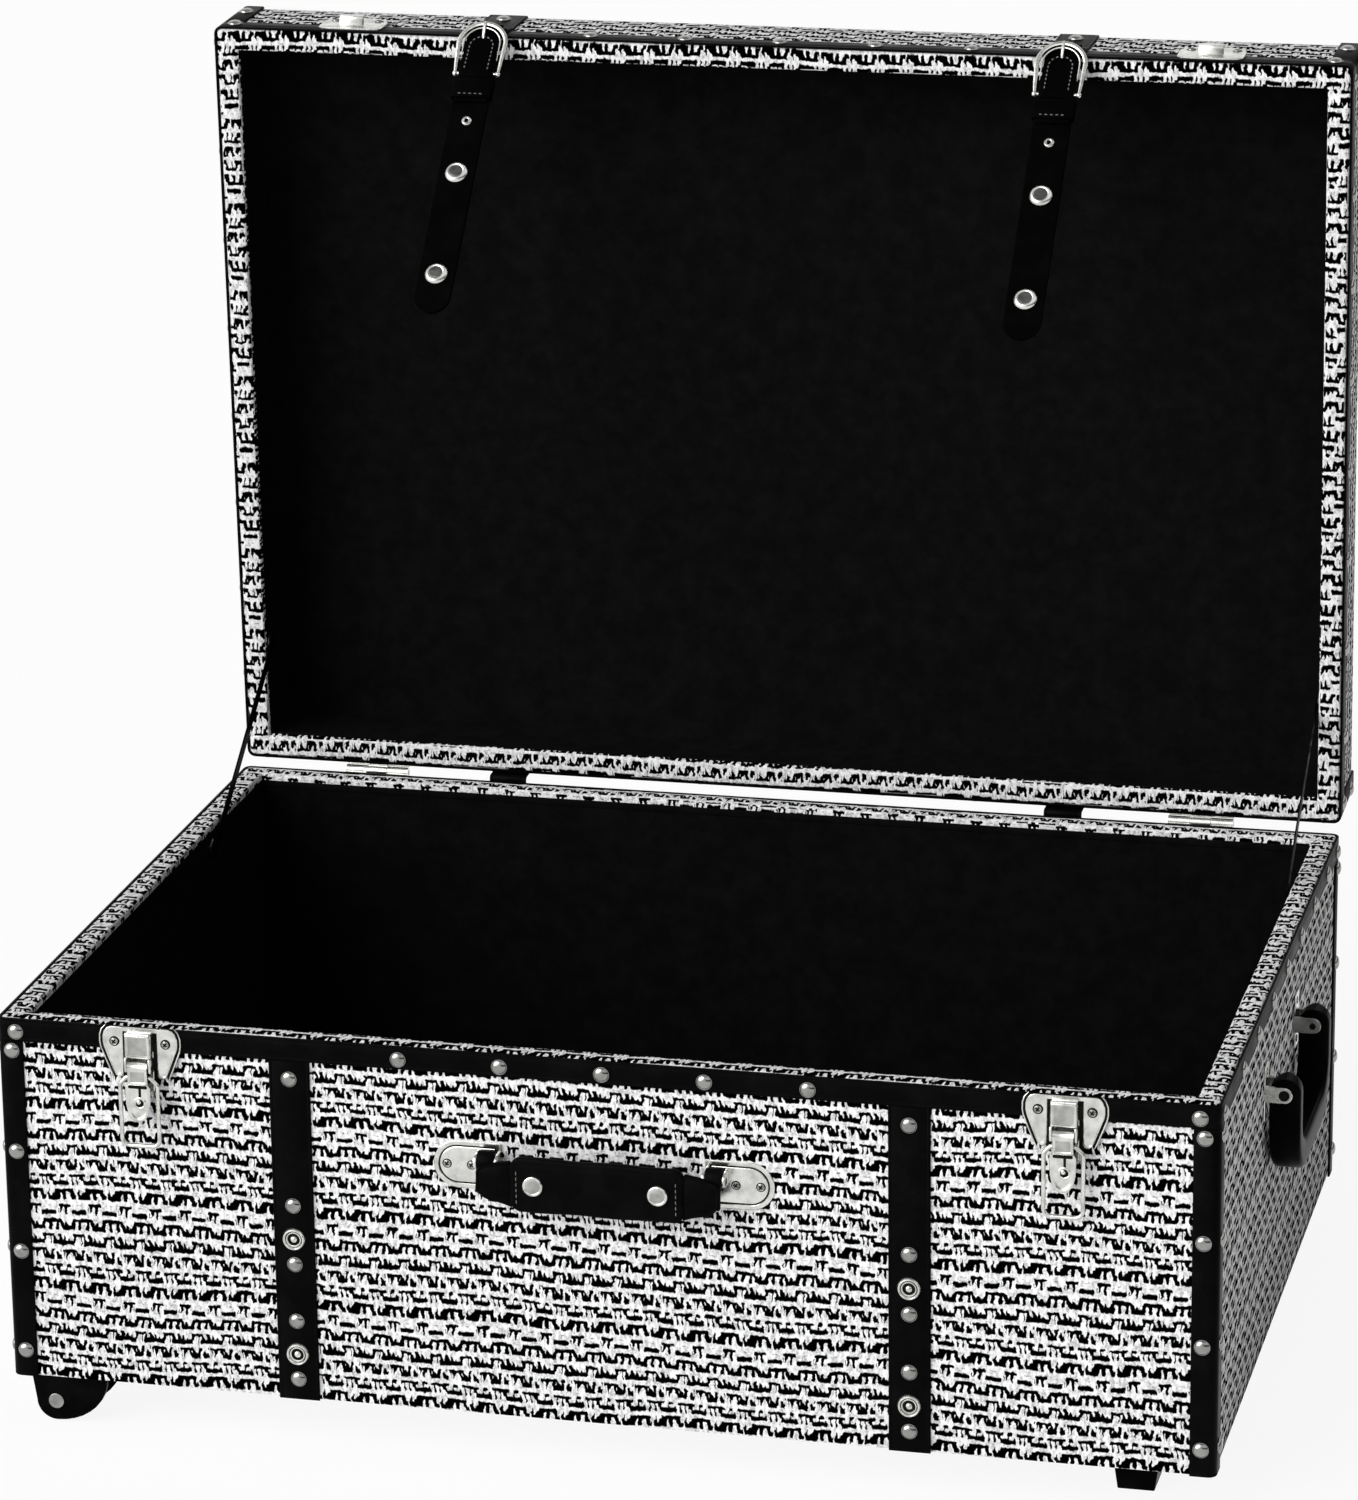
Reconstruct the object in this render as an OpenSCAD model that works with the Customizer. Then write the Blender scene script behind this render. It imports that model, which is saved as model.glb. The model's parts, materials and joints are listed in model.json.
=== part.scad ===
// Dorm trunk with a hinged lid, shown open. Millimetres, +Z up.
// The origin is on the floor under the middle of the open trunk's box; the front faces -Y.

/* [Body] */
// Outer length of the body, left to right
body_l = 762; // [700:1:900]
// Outer width of the body, front to back
body_w = 516; // [440:1:620]
// Outer height of the body, without the feet
body_h = 240; // [225:1:320]
// Thickness of the wall boards
board_t = 12; // [9:0.5:18]
// Thickness of the floor board
floor_t = 9; // [6:0.5:15]
// Thickness of the tweed cover
cover_t = 1.5; // [1:0.1:1.8]
// Thickness of the lining
lining_t = 1.5; // [1:0.1:2.5]
// Radius of the upright corners
corner_r = 4; // [2.5:0.1:5]
// Height of the feet and wheels under the body
foot_h = 31; // [31:1:45]

/* [Lid] */
// Outer height of the lid
lid_h = 62; // [52:1:90]
// Thickness of the lid's top board
lid_top_t = 6; // [4:0.5:12]
// Opening angle of the lid in the drawn pose
lid_angle = 88; // [84:1:92]
// Gap between the closed lid and the body
closed_gap = 1; // [0.5:0.1:2]

/* [Leather trim] */
// Thickness of the leather trim
trim_t = 1.5; // [1:0.1:1.8]
// Height of the band along each rim
band_h = 15; // [12:0.5:20]
// Width of the band at each upright corner
corner_band_w = 15; // [12:0.5:22]
// Distance of the straps from the middle
strap_x = 194; // [160:1:200]
// Width of the straps on the body and the lid
strap_w = 26; // [22:0.5:29]

/* [Nails and snaps] */
// Radius of a nail's domed head
nail_r = 5; // [3:0.1:6]
// Height of a nail's domed head
nail_h = 2.5; // [1.5:0.1:2.8]
// Distance of the nails from the rim
nail_drop = 8.5; // [7:0.1:9]
// Distance between the nails of the front rim band
nail_pitch = 64; // [50:1:68]
// Distance between the nails of a corner band
corner_nail_pitch = 67; // [50:1:67]
// Height of the lowest corner nails above the body's underside
corner_nail_low = 18; // [10:1:22]
// Distance between the nails on the side walls
side_nail_pitch = 62; // [50:1:90]
// How far the hand-set middle row and the handle sit to the right
middle_shift = 4; // [-6:1:6]
// Height of the lower snap ring above the body's underside
snap_low = 31; // [30:1:34]
// Distance between the two snap rings
snap_pitch = 77; // [70:1:84]
// Outer radius of a snap ring
snap_r = 7.5; // [6:0.1:9]
// Height of a snap ring
snap_h = 2.5; // [1.5:0.1:2.8]

/* [Hinges] */
// Distance of the hinges from the middle
hinge_x = 288; // [250:1:300]
// Width of a hinge
hinge_w = 44; // [30:1:60]
// How far the hinge line lies behind the back wall
hinge_off = 6; // [5.8:0.1:8]
// Radius of the hinge knuckles
knuckle_r = 3.5; // [3:0.1:3.9]
// Radius of the hinge pins
hinge_pin_r = 1.5; // [1:0.1:2]
// Thickness of the hinge leaves
leaf_t = 1.4; // [1:0.1:1.5]
// Height of a hinge leaf
leaf_h = 30; // [22:1:40]

/* [Lid stays] */
// Place of the stay's anchor on the body, from the front
stay_base_y = 385; // [340:1:400]
// Depth of that anchor below the rim
stay_drop = 16; // [12:1:30]
// Place of the stay's anchor on the lid, from the front
stay_lid_y = 435; // [420:1:460]
// Depth of that anchor inside the lid
stay_lid_z = 12; // [9:1:24]
// Width of the stay ribbon
stay_w = 8; // [5:0.5:12]
// Radius of an anchor plate
anchor_r = 7; // [5:0.5:9]

/* [Latches] */
// Distance of the latches from the middle
latch_x = 289; // [260:1:320]
// Thickness of the nickel plates
plate_t = 1.2; // [0.8:0.1:1.3]
// Width across the ears of a latch plate
latch_w = 50; // [44:1:60]
// Height of a latch plate
latch_h = 48; // [44:1:60]
// Distance of the lever's pin below the rim
lever_drop = 24; // [22:0.5:25]
// Distance of the lever's pin from the body's front
lever_out = 7; // [6.9:0.1:9]
// Radius of the lever's pin
lever_pin_r = 1.5; // [1:0.1:1.8]
// Width of the lever's finger tongue
tongue_w = 15; // [10:0.5:16]
// Length of the lever below its pin
lever_len = 35; // [28:1:38]
// Distance of the wire loop's pivot below the lever's pin
loop_drop = 6.5; // [6.2:0.1:7.5]
// Width of the wire loop, from wire middle to wire middle
loop_w = 24.2; // [22.4:0.1:30]
// Length of the wire loop, from wire middle to wire middle
loop_len = 45; // [42:1:60]
// Radius of the loop's wire
wire_r = 1.25; // [0.9:0.05:1.3]

/* [Front handle] */
// Height of the handle's end plates above the body's underside
handle_z = 166; // [130:1:180]
// Half the length across both end plates
handle_half = 107; // [100:1:120]
// Height of an end plate
end_plate_h = 30; // [26:1:36]
// Half the length of the padded grip
grip_half = 54; // [40:1:58]
// Height of the padded grip
grip_h = 35; // [28:1:42]
// Thickness of the padded grip
grip_t = 9; // [6:0.5:12]
// Distance of the handle's pin from the body's front
handle_out = 9; // [9:0.1:12]
// Radius of the handle's pins
handle_pin_r = 2; // [1.5:0.1:2.5]

/* [Side handles] */
// Height of the side handles' pins above the body's underside
side_pin_z = 178; // [150:1:195]
// Distance of those pins from the side wall
side_pin_out = 13; // [12.5:0.1:18]
// Radius of those pins
side_pin_r = 2; // [1.5:0.1:3]
// Width across the bail's arms
bail_w = 142; // [120:1:180]
// Thickness of a bail arm along the wall
bail_arm = 14; // [10:0.5:18]
// Thickness of the bail away from the wall
bail_t = 20; // [14:0.5:21]
// Drop of the bail below its pins
bail_drop = 60; // [56:1:80]

/* [Wheels and feet] */
// Distance of the wheel axles from the left end
wheel_in = 25.5; // [24:0.5:40]
// Radius of the wheels
wheel_r = 14.5; // [12:0.5:14.5]
// Width of the wheels
wheel_w = 22; // [14:1:30]
// Radius of the wheel axles
axle_r = 3; // [2:0.1:4]
// Distance of the wheel housings from the front and back
housing_in = 2; // [1:0.5:20]
// Distance of the feet's middle from the right end
foot_in = 54; // [40:1:80]
// Distance of the feet from the front and back
foot_edge = 40; // [20:1:60]
// Width of a foot at its top
foot_top = 32; // [26:1:40]
// Width of a foot at its bottom
foot_bottom = 23; // [18:1:26]
// Depth of a foot, front to back
foot_d = 30; // [20:1:40]

/* [Strap tails] */
// Length of a tail from its pivot to its round end
tail_len = 220; // [214:1:228]
// Width of a tail
tail_w = 25; // [22:0.5:26]
// Thickness of a tail
tail_t = 2.6; // [2:0.1:2.8]
// Distance of the tail's pivot from the lid's front wall
tail_out = 7; // [7:0.1:9]
// Angle between a tail and the plumb line in the drawn pose
tail_lean = 44; // [42:0.5:46]
// Distance of the buckle's bar below the pivot
buckle_len = 37; // [32:0.5:40]
// Radius of the buckle's round end, to the wire's middle
buckle_r = 16; // [15.5:0.1:18]
// Radius of the buckle's wire
buckle_wire_r = 1.3; // [1:0.05:1.4]
// Distance from the pivot to the first snap cap
cap_first = 114; // [110:1:122]
// Radius of a snap cap
cap_r = 7.5; // [6:0.1:9]

/* [Hidden] */
$fn = 48;

// Running clearance, on the radius, of each pin in its bore
pin_fit = 0.05;
// Side clearance between parts that turn beside each other
side_gap = 0.3;
// Length by which cutting tools overshoot
over = 1;
wall = cover_t + board_t + lining_t;
half_l = body_l / 2;
hinge_y = body_w + hinge_off;
hinge_z = body_h + closed_gap / 2;
lid_z = body_h + closed_gap;
// The layer of hardware that lies over the leather bands
plate_out = trim_t + plate_t;
// Shades of the finishes
tweed = [0.62, 0.62, 0.62];
leather = [0.06, 0.06, 0.06];
nickel = [0.78, 0.78, 0.80];
board = [0.72, 0.60, 0.42];
lining = [0.04, 0.04, 0.04];
plastic = [0.05, 0.05, 0.05];
rubber = [0.09, 0.09, 0.09];

// The open trunk reaches from the rivets on the handle's face to the back of the open lid
grip_back = 3;
rivet_h = 2;
handle_reach = handle_out + grip_back + grip_t + rivet_h;
lid_reach = (trim_t - hinge_off) * cos(lid_angle) + (lid_h + trim_t + closed_gap / 2) * sin(lid_angle);
front_y = -(body_w + hinge_off + lid_reach - handle_reach) / 2;

// Frames: the body's own, the closed lid's turned open, a strap tail's
module on_body() {
    translate([0, front_y, foot_h]) children();
}
module on_lid() {
    on_body() translate([0, hinge_y, hinge_z]) rotate([-lid_angle, 0, 0])
        translate([0, -hinge_y, lid_z - hinge_z]) children();
}
tail_pivot_z = 1.5;
module on_tail(side) {
    on_lid() translate([side * strap_x, -tail_out, tail_pivot_z])
        rotate([lid_angle - tail_lean, 0, 0]) children();
}

// Flat shapes and small solids used by several pieces
module rounded_rect(x0, y0, x1, y1, r) {
    translate([x0 + r, y0]) square([x1 - x0 - 2 * r, y1 - y0]);
    translate([x0, y0 + r]) square([x1 - x0, y1 - y0 - 2 * r]);
    for (x = [x0 + r, x1 - r])
        for (y = [y0 + r, y1 - r])
            translate([x, y]) circle(r);
}
module block(x0, x1, y0, y1, z0, z1) {
    translate([x0, y0, z0]) cube([x1 - x0, y1 - y0, z1 - z0]);
}
module outline(grow) {
    rounded_rect(-half_l - grow, -grow, half_l + grow, body_w + grow, corner_r + grow);
}
module ring(height, thick) {
    linear_extrude(height) difference() {
        outline(thick);
        outline(0);
    }
}
// A domed head whose flat back lies on the plane z = 0
module dome(r, h) {
    ball = (r * r + h * h) / (2 * h);
    intersection() {
        translate([0, 0, h - ball]) sphere(ball);
        translate([0, 0, h / 2]) cube([3 * r, 3 * r, h], center = true);
    }
}
module facing_front(p) {
    translate(p) rotate([90, 0, 0]) children();
}
module facing_back(p) {
    translate(p) rotate([-90, 0, 0]) children();
}
module facing_side(side, p) {
    translate(p) rotate([0, side * 90, 0]) children();
}
module bar_x(x0, x1, y, z, r) {
    translate([x0, y, z]) rotate([0, 90, 0]) cylinder(r = r, h = x1 - x0);
}
module bar_y(x, y0, y1, z, r) {
    translate([x, y1, z]) rotate([90, 0, 0]) cylinder(r = r, h = y1 - y0);
}
// A flat shape drawn in (y, z), as thick as x0 to x1
module slab_yz(x0, x1) {
    translate([x0, 0, 0]) rotate([90, 0, 90]) linear_extrude(x1 - x0) children();
}
// A flat shape drawn in (x, z), as thick as y0 to y1
module slab_xz(y0, y1) {
    translate([0, y1, 0]) rotate([90, 0, 0]) linear_extrude(y1 - y0) children();
}

// Body boards, cover and lining
board_low = cover_t + floor_t;
board_top = body_h - cover_t;
module board_outline(z0, z1) {
    translate([0, 0, z0]) linear_extrude(z1 - z0) outline(-cover_t);
}
module base_front_panel() {
    color(board) on_body() intersection() {
        board_outline(board_low, board_top);
        block(-half_l, half_l, 0, cover_t + board_t, 0, body_h);
    }
}
module base_back_panel() {
    color(board) on_body() intersection() {
        board_outline(board_low, board_top);
        block(-half_l, half_l, body_w - cover_t - board_t, body_w, 0, body_h);
    }
}
module base_side_panel(side) {
    x = side * (half_l - cover_t - board_t / 2);
    color(board) on_body()
        block(x - board_t / 2, x + board_t / 2,
            cover_t + board_t, body_w - cover_t - board_t, board_low, board_top);
}
module base_left_panel() {
    base_side_panel(-1);
}
module base_right_panel() {
    base_side_panel(1);
}
module base_floor_panel() {
    color(board) on_body() board_outline(cover_t, board_low);
}
module base_cover() {
    color(tweed) on_body() difference() {
        linear_extrude(body_h) outline(0);
        board_outline(cover_t, board_top);
        block(wall - half_l, half_l - wall, wall, body_w - wall, board_top - over, body_h + over);
    }
}
module base_lining() {
    inset = cover_t + board_t;
    color(lining) on_body() difference() {
        block(inset - half_l, half_l - inset, inset, body_w - inset, board_low, board_top);
        block(wall - half_l, half_l - wall, wall, body_w - wall, board_low + lining_t, board_top + over);
    }
}

// Leather trim of the body
module base_rim_band() {
    color(leather) on_body() translate([0, 0, body_h - band_h]) ring(band_h, trim_t);
}
module corner_pieces(height) {
    for (x = [-half_l - corner_band_w, half_l - corner_band_w])
        for (y = [-corner_band_w, body_w - corner_band_w])
            block(x, x + 2 * corner_band_w, y, y + 2 * corner_band_w, 0, height);
}
module base_corner_bands() {
    color(leather) on_body() intersection() {
        ring(body_h - band_h, trim_t);
        corner_pieces(body_h);
    }
}
module base_front_straps() {
    color(leather) on_body()
        for (x = [-strap_x, strap_x])
            block(x - strap_w / 2, x + strap_w / 2, -trim_t, 0, 0, body_h - band_h);
}
// Where a strap crosses a rim band it lies on top of the band
strap_lap = 6;
strap_end = 3;
module base_back_straps() {
    color(leather) on_body()
        for (x = [-strap_x, strap_x]) {
            block(x - strap_w / 2, x + strap_w / 2, body_w, body_w + trim_t, 0, body_h - band_h);
            block(x - strap_w / 2, x + strap_w / 2, body_w + trim_t, body_w + 2 * trim_t,
                body_h - band_h - strap_lap, body_h - strap_end);
        }
}

// Nails and snap rings of the body
strap_nail_top = 26.5;
snap_nail_above = 22;
snap_nail_below = 17;
end_nail_in = 11;
corner_nail_in = 8;
side_nail_first = 24;
corner_nails = [0 : 3];
middle_row = [-2 : 2];
function strap_nail_heights() = [
    body_h - strap_nail_top,
    snap_low + snap_pitch + snap_nail_above, snap_low + snap_pitch - snap_nail_below,
    snap_low + snap_nail_above, snap_low - snap_nail_below
];
side_row = [side_nail_first + side_nail_pitch : side_nail_pitch : body_w - side_nail_first - nail_pitch / 4];
module nail() {
    dome(nail_r, nail_h);
}
module base_nails() {
    band_nail_z = body_h - nail_drop;
    color(nickel) on_body() {
        for (i = middle_row) {
            facing_front([middle_shift + i * nail_pitch, -trim_t, band_nail_z]) nail();
            facing_back([middle_shift + i * nail_pitch, body_w + trim_t, band_nail_z]) nail();
        }
        for (x = [end_nail_in - half_l, half_l - end_nail_in]) {
            facing_front([x, -trim_t, band_nail_z]) nail();
            facing_back([x, body_w + trim_t, band_nail_z]) nail();
        }
        for (i = corner_nails) {
            z = corner_nail_low + i * corner_nail_pitch;
            for (x = [corner_nail_in - half_l, half_l - corner_nail_in]) {
                facing_front([x, -trim_t, z]) nail();
                facing_back([x, body_w + trim_t, z]) nail();
            }
            for (side = [-1, 1])
                for (y = [corner_nail_in, body_w - corner_nail_in])
                    facing_side(side, [side * (half_l + trim_t), y, z]) nail();
        }
        for (x = [-strap_x, strap_x])
            for (z = strap_nail_heights()) {
                facing_front([x, -trim_t, z]) nail();
                facing_back([x, body_w + trim_t, z]) nail();
            }
        for (side = [-1, 1]) {
            for (y = side_row)
                facing_side(side, [side * (half_l + trim_t), y, band_nail_z]) nail();
            for (y = [end_nail_in, body_w - end_nail_in])
                facing_side(side, [side * (half_l + trim_t), y, band_nail_z]) nail();
        }
    }
}
module snap_ring() {
    rotate_extrude() polygon([
        [0, 0], [snap_r, 0], [snap_r, 0.5 * snap_h], [0.88 * snap_r, snap_h], [0.7 * snap_r, snap_h],
        [0.6 * snap_r, 0.4 * snap_h], [0.33 * snap_r, 0.4 * snap_h], [0.28 * snap_r, 0.9 * snap_h],
        [0, 0.9 * snap_h]
    ]);
}
module snap_rings() {
    color(nickel) on_body()
        for (x = [-strap_x, strap_x])
            for (z = [snap_low, snap_low + snap_pitch])
                facing_front([x, -trim_t, z]) snap_ring();
}

// Screws that hold the nickel plates
screw_r = 3;
screw_h = 1.2;
flat_screw_r = 2.5;
flat_screw_h = 0.6;
latch_screw_x = 16.5;
latch_screw_drop = 9.5;
handle_screws = [83, 98.5];
leaf_screws = [[-14, -14], [14, -14], [0, -22]];
bracket_screw_z = 13;
bracket_screw_in = 5;
module screw_head(r, h) {
    rotate_extrude() polygon([[0, 0], [r, 0], [r, 0.4 * h], [0.7 * r, h], [0, h]]);
}
module leaf_screw_set(y) {
    for (side = [-1, 1])
        for (p = leaf_screws)
            facing_back([side * hinge_x + p[0], y, p[1]]) screw_head(screw_r, screw_h);
}
module base_screws() {
    color(nickel) on_body() {
        for (x = [-latch_x, latch_x])
            for (dx = [-latch_screw_x, latch_screw_x])
                facing_front([x + dx, -plate_out, body_h - latch_screw_drop]) screw_head(screw_r, screw_h);
        for (side = [-1, 1])
            for (x = handle_screws)
                facing_front([middle_shift + side * x, -plate_t, handle_z]) screw_head(screw_r, screw_h);
        translate([0, 0, hinge_z]) leaf_screw_set(body_w + trim_t + leaf_t);
        for (side = [-1, 1])
            for (end = [-1, 1])
                for (dz = [-bracket_screw_z, bracket_screw_z])
                    facing_side(side, [side * (half_l + plate_t),
                        body_w / 2 + end * (bail_w / 2 - bracket_screw_in), side_pin_z + dz])
                        screw_head(flat_screw_r, flat_screw_h);
    }
}

// Latches: a plate with two cheeks, a lever on a pin, and a wire loop on the lever
lever_z = body_h - lever_drop;
knuckle_room = 0.5;
lever_knuckle_r = lever_out - plate_out - knuckle_room;
lever_w = 13;
cheek_t = 1.6;
cheek_x = lever_w / 2 + side_gap;
cheek_low = 4;
ridge_low = 6;
ridge_top = 3;
ridge_w = 15;
ridge_out = lever_out + 2;
cheek_out = lever_out + 3;
lever_front = 3.5;
lever_back = 3;
tongue_t = 1.5;
tongue_top = 11;
loop_back = 0.5;
stub_depth = 3;
latch_taper = 14;
module latch_plate() {
    half = latch_w / 2;
    difference() {
        union() {
            slab_xz(-plate_out, -trim_t) polygon([
                [-half + 3, body_h], [half - 3, body_h], [half, body_h - 4], [half, body_h - latch_taper],
                [latch_taper, body_h - latch_h + 8], [latch_taper, body_h - latch_h],
                [-latch_taper, body_h - latch_h], [-latch_taper, body_h - latch_h + 8],
                [-half, body_h - latch_taper], [-half, body_h - 4]
            ]);
            block(-ridge_w / 2, ridge_w / 2, -ridge_out, -trim_t, lever_z + ridge_low, body_h - ridge_top);
            for (side = [-1, 1])
                slab_yz(min(side * cheek_x, side * (cheek_x + cheek_t)),
                    max(side * cheek_x, side * (cheek_x + cheek_t)))
                    polygon([
                        [-trim_t, lever_z - cheek_low], [-lever_out, lever_z - cheek_low],
                        [-cheek_out, lever_z - cheek_low + 2], [-cheek_out, lever_z + ridge_low - 2],
                        [-ridge_out, lever_z + ridge_low], [-trim_t, lever_z + ridge_low]
                    ]);
        }
        bar_x(-latch_w, latch_w, -lever_out, lever_z, lever_pin_r + pin_fit);
    }
}
module latch_plates() {
    color(nickel) on_body()
        for (x = [-latch_x, latch_x])
            translate([x, 0, 0]) latch_plate();
}
module latch_lever(x) {
    color(nickel) on_body() translate([x, -lever_out, lever_z]) difference() {
        union() {
            bar_x(-lever_w / 2, lever_w / 2, 0, 0, lever_knuckle_r);
            block(-lever_w / 2, lever_w / 2, -lever_front, lever_back, -tongue_top, 0);
            slab_xz(-lever_front, tongue_t - lever_front) {
                translate([-tongue_w / 2, tongue_w / 2 - lever_len])
                    square([tongue_w, lever_len - tongue_top - tongue_w / 2 + 1]);
                translate([0, tongue_w / 2 - lever_len]) circle(tongue_w / 2);
            }
        }
        bar_x(-lever_w, lever_w, 0, 0, lever_pin_r + pin_fit);
        for (side = [-1, 1])
            bar_x(min(side * (lever_w / 2 - stub_depth), side * lever_w),
                max(side * (lever_w / 2 - stub_depth), side * lever_w),
                -loop_back, -loop_drop, wire_r + pin_fit);
    }
}
module latch_lever_left() {
    latch_lever(-latch_x);
}
module latch_lever_right() {
    latch_lever(latch_x);
}
loop_bend = 5;
module latch_loop(x) {
    half = loop_w / 2;
    stub_end = lever_w / 2 - stub_depth + side_gap;
    color(nickel) on_body() translate([x, -lever_out - loop_back, lever_z - loop_drop]) {
        for (side = [-1, 1]) {
            bar_x(min(side * stub_end, side * half), max(side * stub_end, side * half), 0, 0, wire_r);
            translate([side * half, 0, 0]) sphere(wire_r);
            translate([side * half, 0, loop_bend - loop_len]) cylinder(r = wire_r, h = loop_len - loop_bend);
            translate([side * (half - loop_bend), 0, loop_bend - loop_len])
                rotate([90, 0, 0]) rotate([0, 0, side > 0 ? -90 : 180])
                    rotate_extrude(angle = 90) translate([loop_bend, 0]) circle(wire_r);
        }
        bar_x(loop_bend - half, half - loop_bend, 0, -loop_len, wire_r);
    }
}
module latch_loop_left() {
    latch_loop(-latch_x);
}
module latch_loop_right() {
    latch_loop(latch_x);
}
// The keeper's notch holds the loop's bar when the lid is shut and the lever is down
keeper_notch_z = lever_z - loop_drop + loop_len - wire_r - lid_z;
keeper_half = 22;
keeper_low = 2;
keeper_top = 32;
hook_half = 8;
hook_out = 6.5;
hook_lip = 2;
module lid_keepers() {
    color(nickel) on_lid()
        for (x = [-latch_x, latch_x])
            translate([x, 0, 0]) {
                slab_xz(-plate_out, -trim_t) polygon([
                    [3 - keeper_half, keeper_low], [keeper_half - 3, keeper_low],
                    [keeper_half, keeper_low + 3], [keeper_half, keeper_top - 8],
                    [keeper_half - 8, keeper_top], [8 - keeper_half, keeper_top],
                    [-keeper_half, keeper_top - 8], [-keeper_half, keeper_low + 3]
                ]);
                slab_yz(-hook_half, hook_half) translate([-plate_out, keeper_notch_z]) polygon([
                    [0.1, -4], [-hook_out + 1, -3], [-hook_out, -2], [-hook_out, 3.5],
                    [hook_lip - hook_out, 3.5], [hook_lip - hook_out, 0], [0.1, 0]
                ]);
            }
}

// Front handle: end plates with ears, a leather grip turning on pins between the ears
handle_pin_z = handle_z + 6;
ear_t = 2;
tab_x = 66.3;
tab_w = 10.2;
ear_r = handle_out / 2;
tab_r = 6.3;
strap_near = 5;
strap_t = 4;
grip_rise = 8;
tab_low = 20;
strap_low = 22;
rivet_x = 39;
rivet_drop = 8.5;
rivet_r = 6.5;
module handle_plate(side) {
    inner = tab_x - side_gap - ear_t;
    outer = tab_x + tab_w + side_gap;
    end_r = end_plate_h / 2;
    difference() {
        union() {
            slab_xz(-plate_t, 0) {
                translate([side > 0 ? inner : end_r - handle_half, handle_z - end_r])
                    square([handle_half - end_r - inner, end_plate_h]);
                translate([side * (handle_half - end_r), handle_z]) circle(end_r);
            }
            for (x = [inner, outer]) {
                x0 = side > 0 ? x : -x - ear_t;
                block(x0, x0 + ear_t, -handle_out, 0, handle_pin_z - ear_r, handle_pin_z + ear_r);
                bar_x(x0, x0 + ear_t, -handle_out, handle_pin_z, ear_r);
            }
        }
        bar_x(-handle_half, handle_half, -handle_out, handle_pin_z, handle_pin_r + pin_fit);
    }
}
module handle_plates() {
    color(nickel) on_body() translate([middle_shift, 0, 0])
        for (side = [-1, 1])
            handle_plate(side);
}
module handle_grip() {
    color(leather) on_body() translate([middle_shift, -handle_out, handle_pin_z]) difference() {
        union() {
            slab_xz(-grip_back - grip_t, -grip_back)
                rounded_rect(-grip_half, grip_rise - grip_h, grip_half, grip_rise, 6);
            for (side = [-1, 1]) {
                x0 = side > 0 ? grip_half - over : -tab_x - tab_w;
                t0 = side > 0 ? tab_x : -tab_x - tab_w;
                block(x0, x0 + tab_x + tab_w - grip_half + over, -strap_near - strap_t, -strap_near,
                    -strap_low, 0);
                block(t0, t0 + tab_w, -strap_near - strap_t, -strap_near, -tab_low, strap_near);
                bar_x(t0, t0 + tab_w, 0, 0, tab_r);
            }
        }
        bar_x(-handle_half, handle_half, 0, 0, handle_pin_r + pin_fit);
    }
}
module handle_rivets() {
    color(nickel) on_body()
        for (x = [-rivet_x, rivet_x])
            facing_front([middle_shift + x, -handle_out - grip_back - grip_t, handle_pin_z - rivet_drop])
                dome(rivet_r, rivet_h);
}
// The pins of the latch levers and of the front handle
module front_pins() {
    color(nickel) on_body() {
        for (x = [-latch_x, latch_x])
            bar_x(x - cheek_x - cheek_t, x + cheek_x + cheek_t, -lever_out, lever_z, lever_pin_r);
        for (side = [-1, 1]) {
            x = middle_shift + side * (tab_x + tab_w / 2);
            reach = tab_w / 2 + side_gap + ear_t;
            bar_x(x - reach, x + reach, -handle_out, handle_pin_z, handle_pin_r);
        }
    }
}

// Side handles: two brackets, two pins and a moulded bail
bracket_t = 2.5;
bracket_half = 5.2;
flange_half = 18;
flange_in = 12;
bail_bend = 38;
bail_bar = 20;
pin_head_r = 4;
pin_head_t = 1;
module bail_shape(inset, low) {
    half = bail_w / 2 - inset;
    bend = bail_bend - inset;
    bottom = low - bail_drop;
    translate([-half, bottom + bend]) square([2 * half, -bottom - bend]);
    translate([bend - half, bottom]) square([2 * (half - bend), -bottom]);
    intersection() {
        for (y = [bend - half, half - bend])
            translate([y, bottom + bend]) circle(bend);
        translate([-half, bottom]) square([2 * half, -bottom]);
    }
}
module side_handle(side) {
    color(plastic) on_body() translate([side * (half_l + side_pin_out), body_w / 2, side_pin_z])
        difference() {
            union() {
                slab_yz(-bail_t / 2, bail_t / 2) difference() {
                    bail_shape(0, 0);
                    bail_shape(bail_arm, bail_bar);
                }
                for (end = [-1, 1])
                    bar_y(0, end > 0 ? bail_w / 2 - bail_arm : -bail_w / 2,
                        end > 0 ? bail_w / 2 : bail_arm - bail_w / 2, 0, bail_t / 2);
            }
            bar_y(0, -bail_w, bail_w, 0, side_pin_r + pin_fit);
        }
}
module side_handle_left() {
    side_handle(-1);
}
module side_handle_right() {
    side_handle(1);
}
module side_brackets() {
    ear_near = bail_w / 2 + side_gap;
    color(nickel) on_body()
        for (side = [-1, 1])
            for (end = [-1, 1])
                translate([side * half_l, body_w / 2, side_pin_z]) difference() {
                    y0 = end > 0 ? ear_near : -ear_near - bracket_t;
                    f0 = end > 0 ? bail_w / 2 - flange_in : -ear_near - bracket_t;
                    x0 = side > 0 ? 0 : -side_pin_out;
                    union() {
                        block(side > 0 ? 0 : -plate_t, side > 0 ? plate_t : 0,
                            f0, f0 + flange_in + side_gap + bracket_t, -flange_half, flange_half);
                        block(x0, x0 + side_pin_out, y0, y0 + bracket_t, -bracket_half, bracket_half);
                        bar_y(side * side_pin_out, y0, y0 + bracket_t, 0, bracket_half);
                    }
                    bar_y(side * side_pin_out, -bail_w, bail_w, 0, side_pin_r + pin_fit);
                }
}
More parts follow.
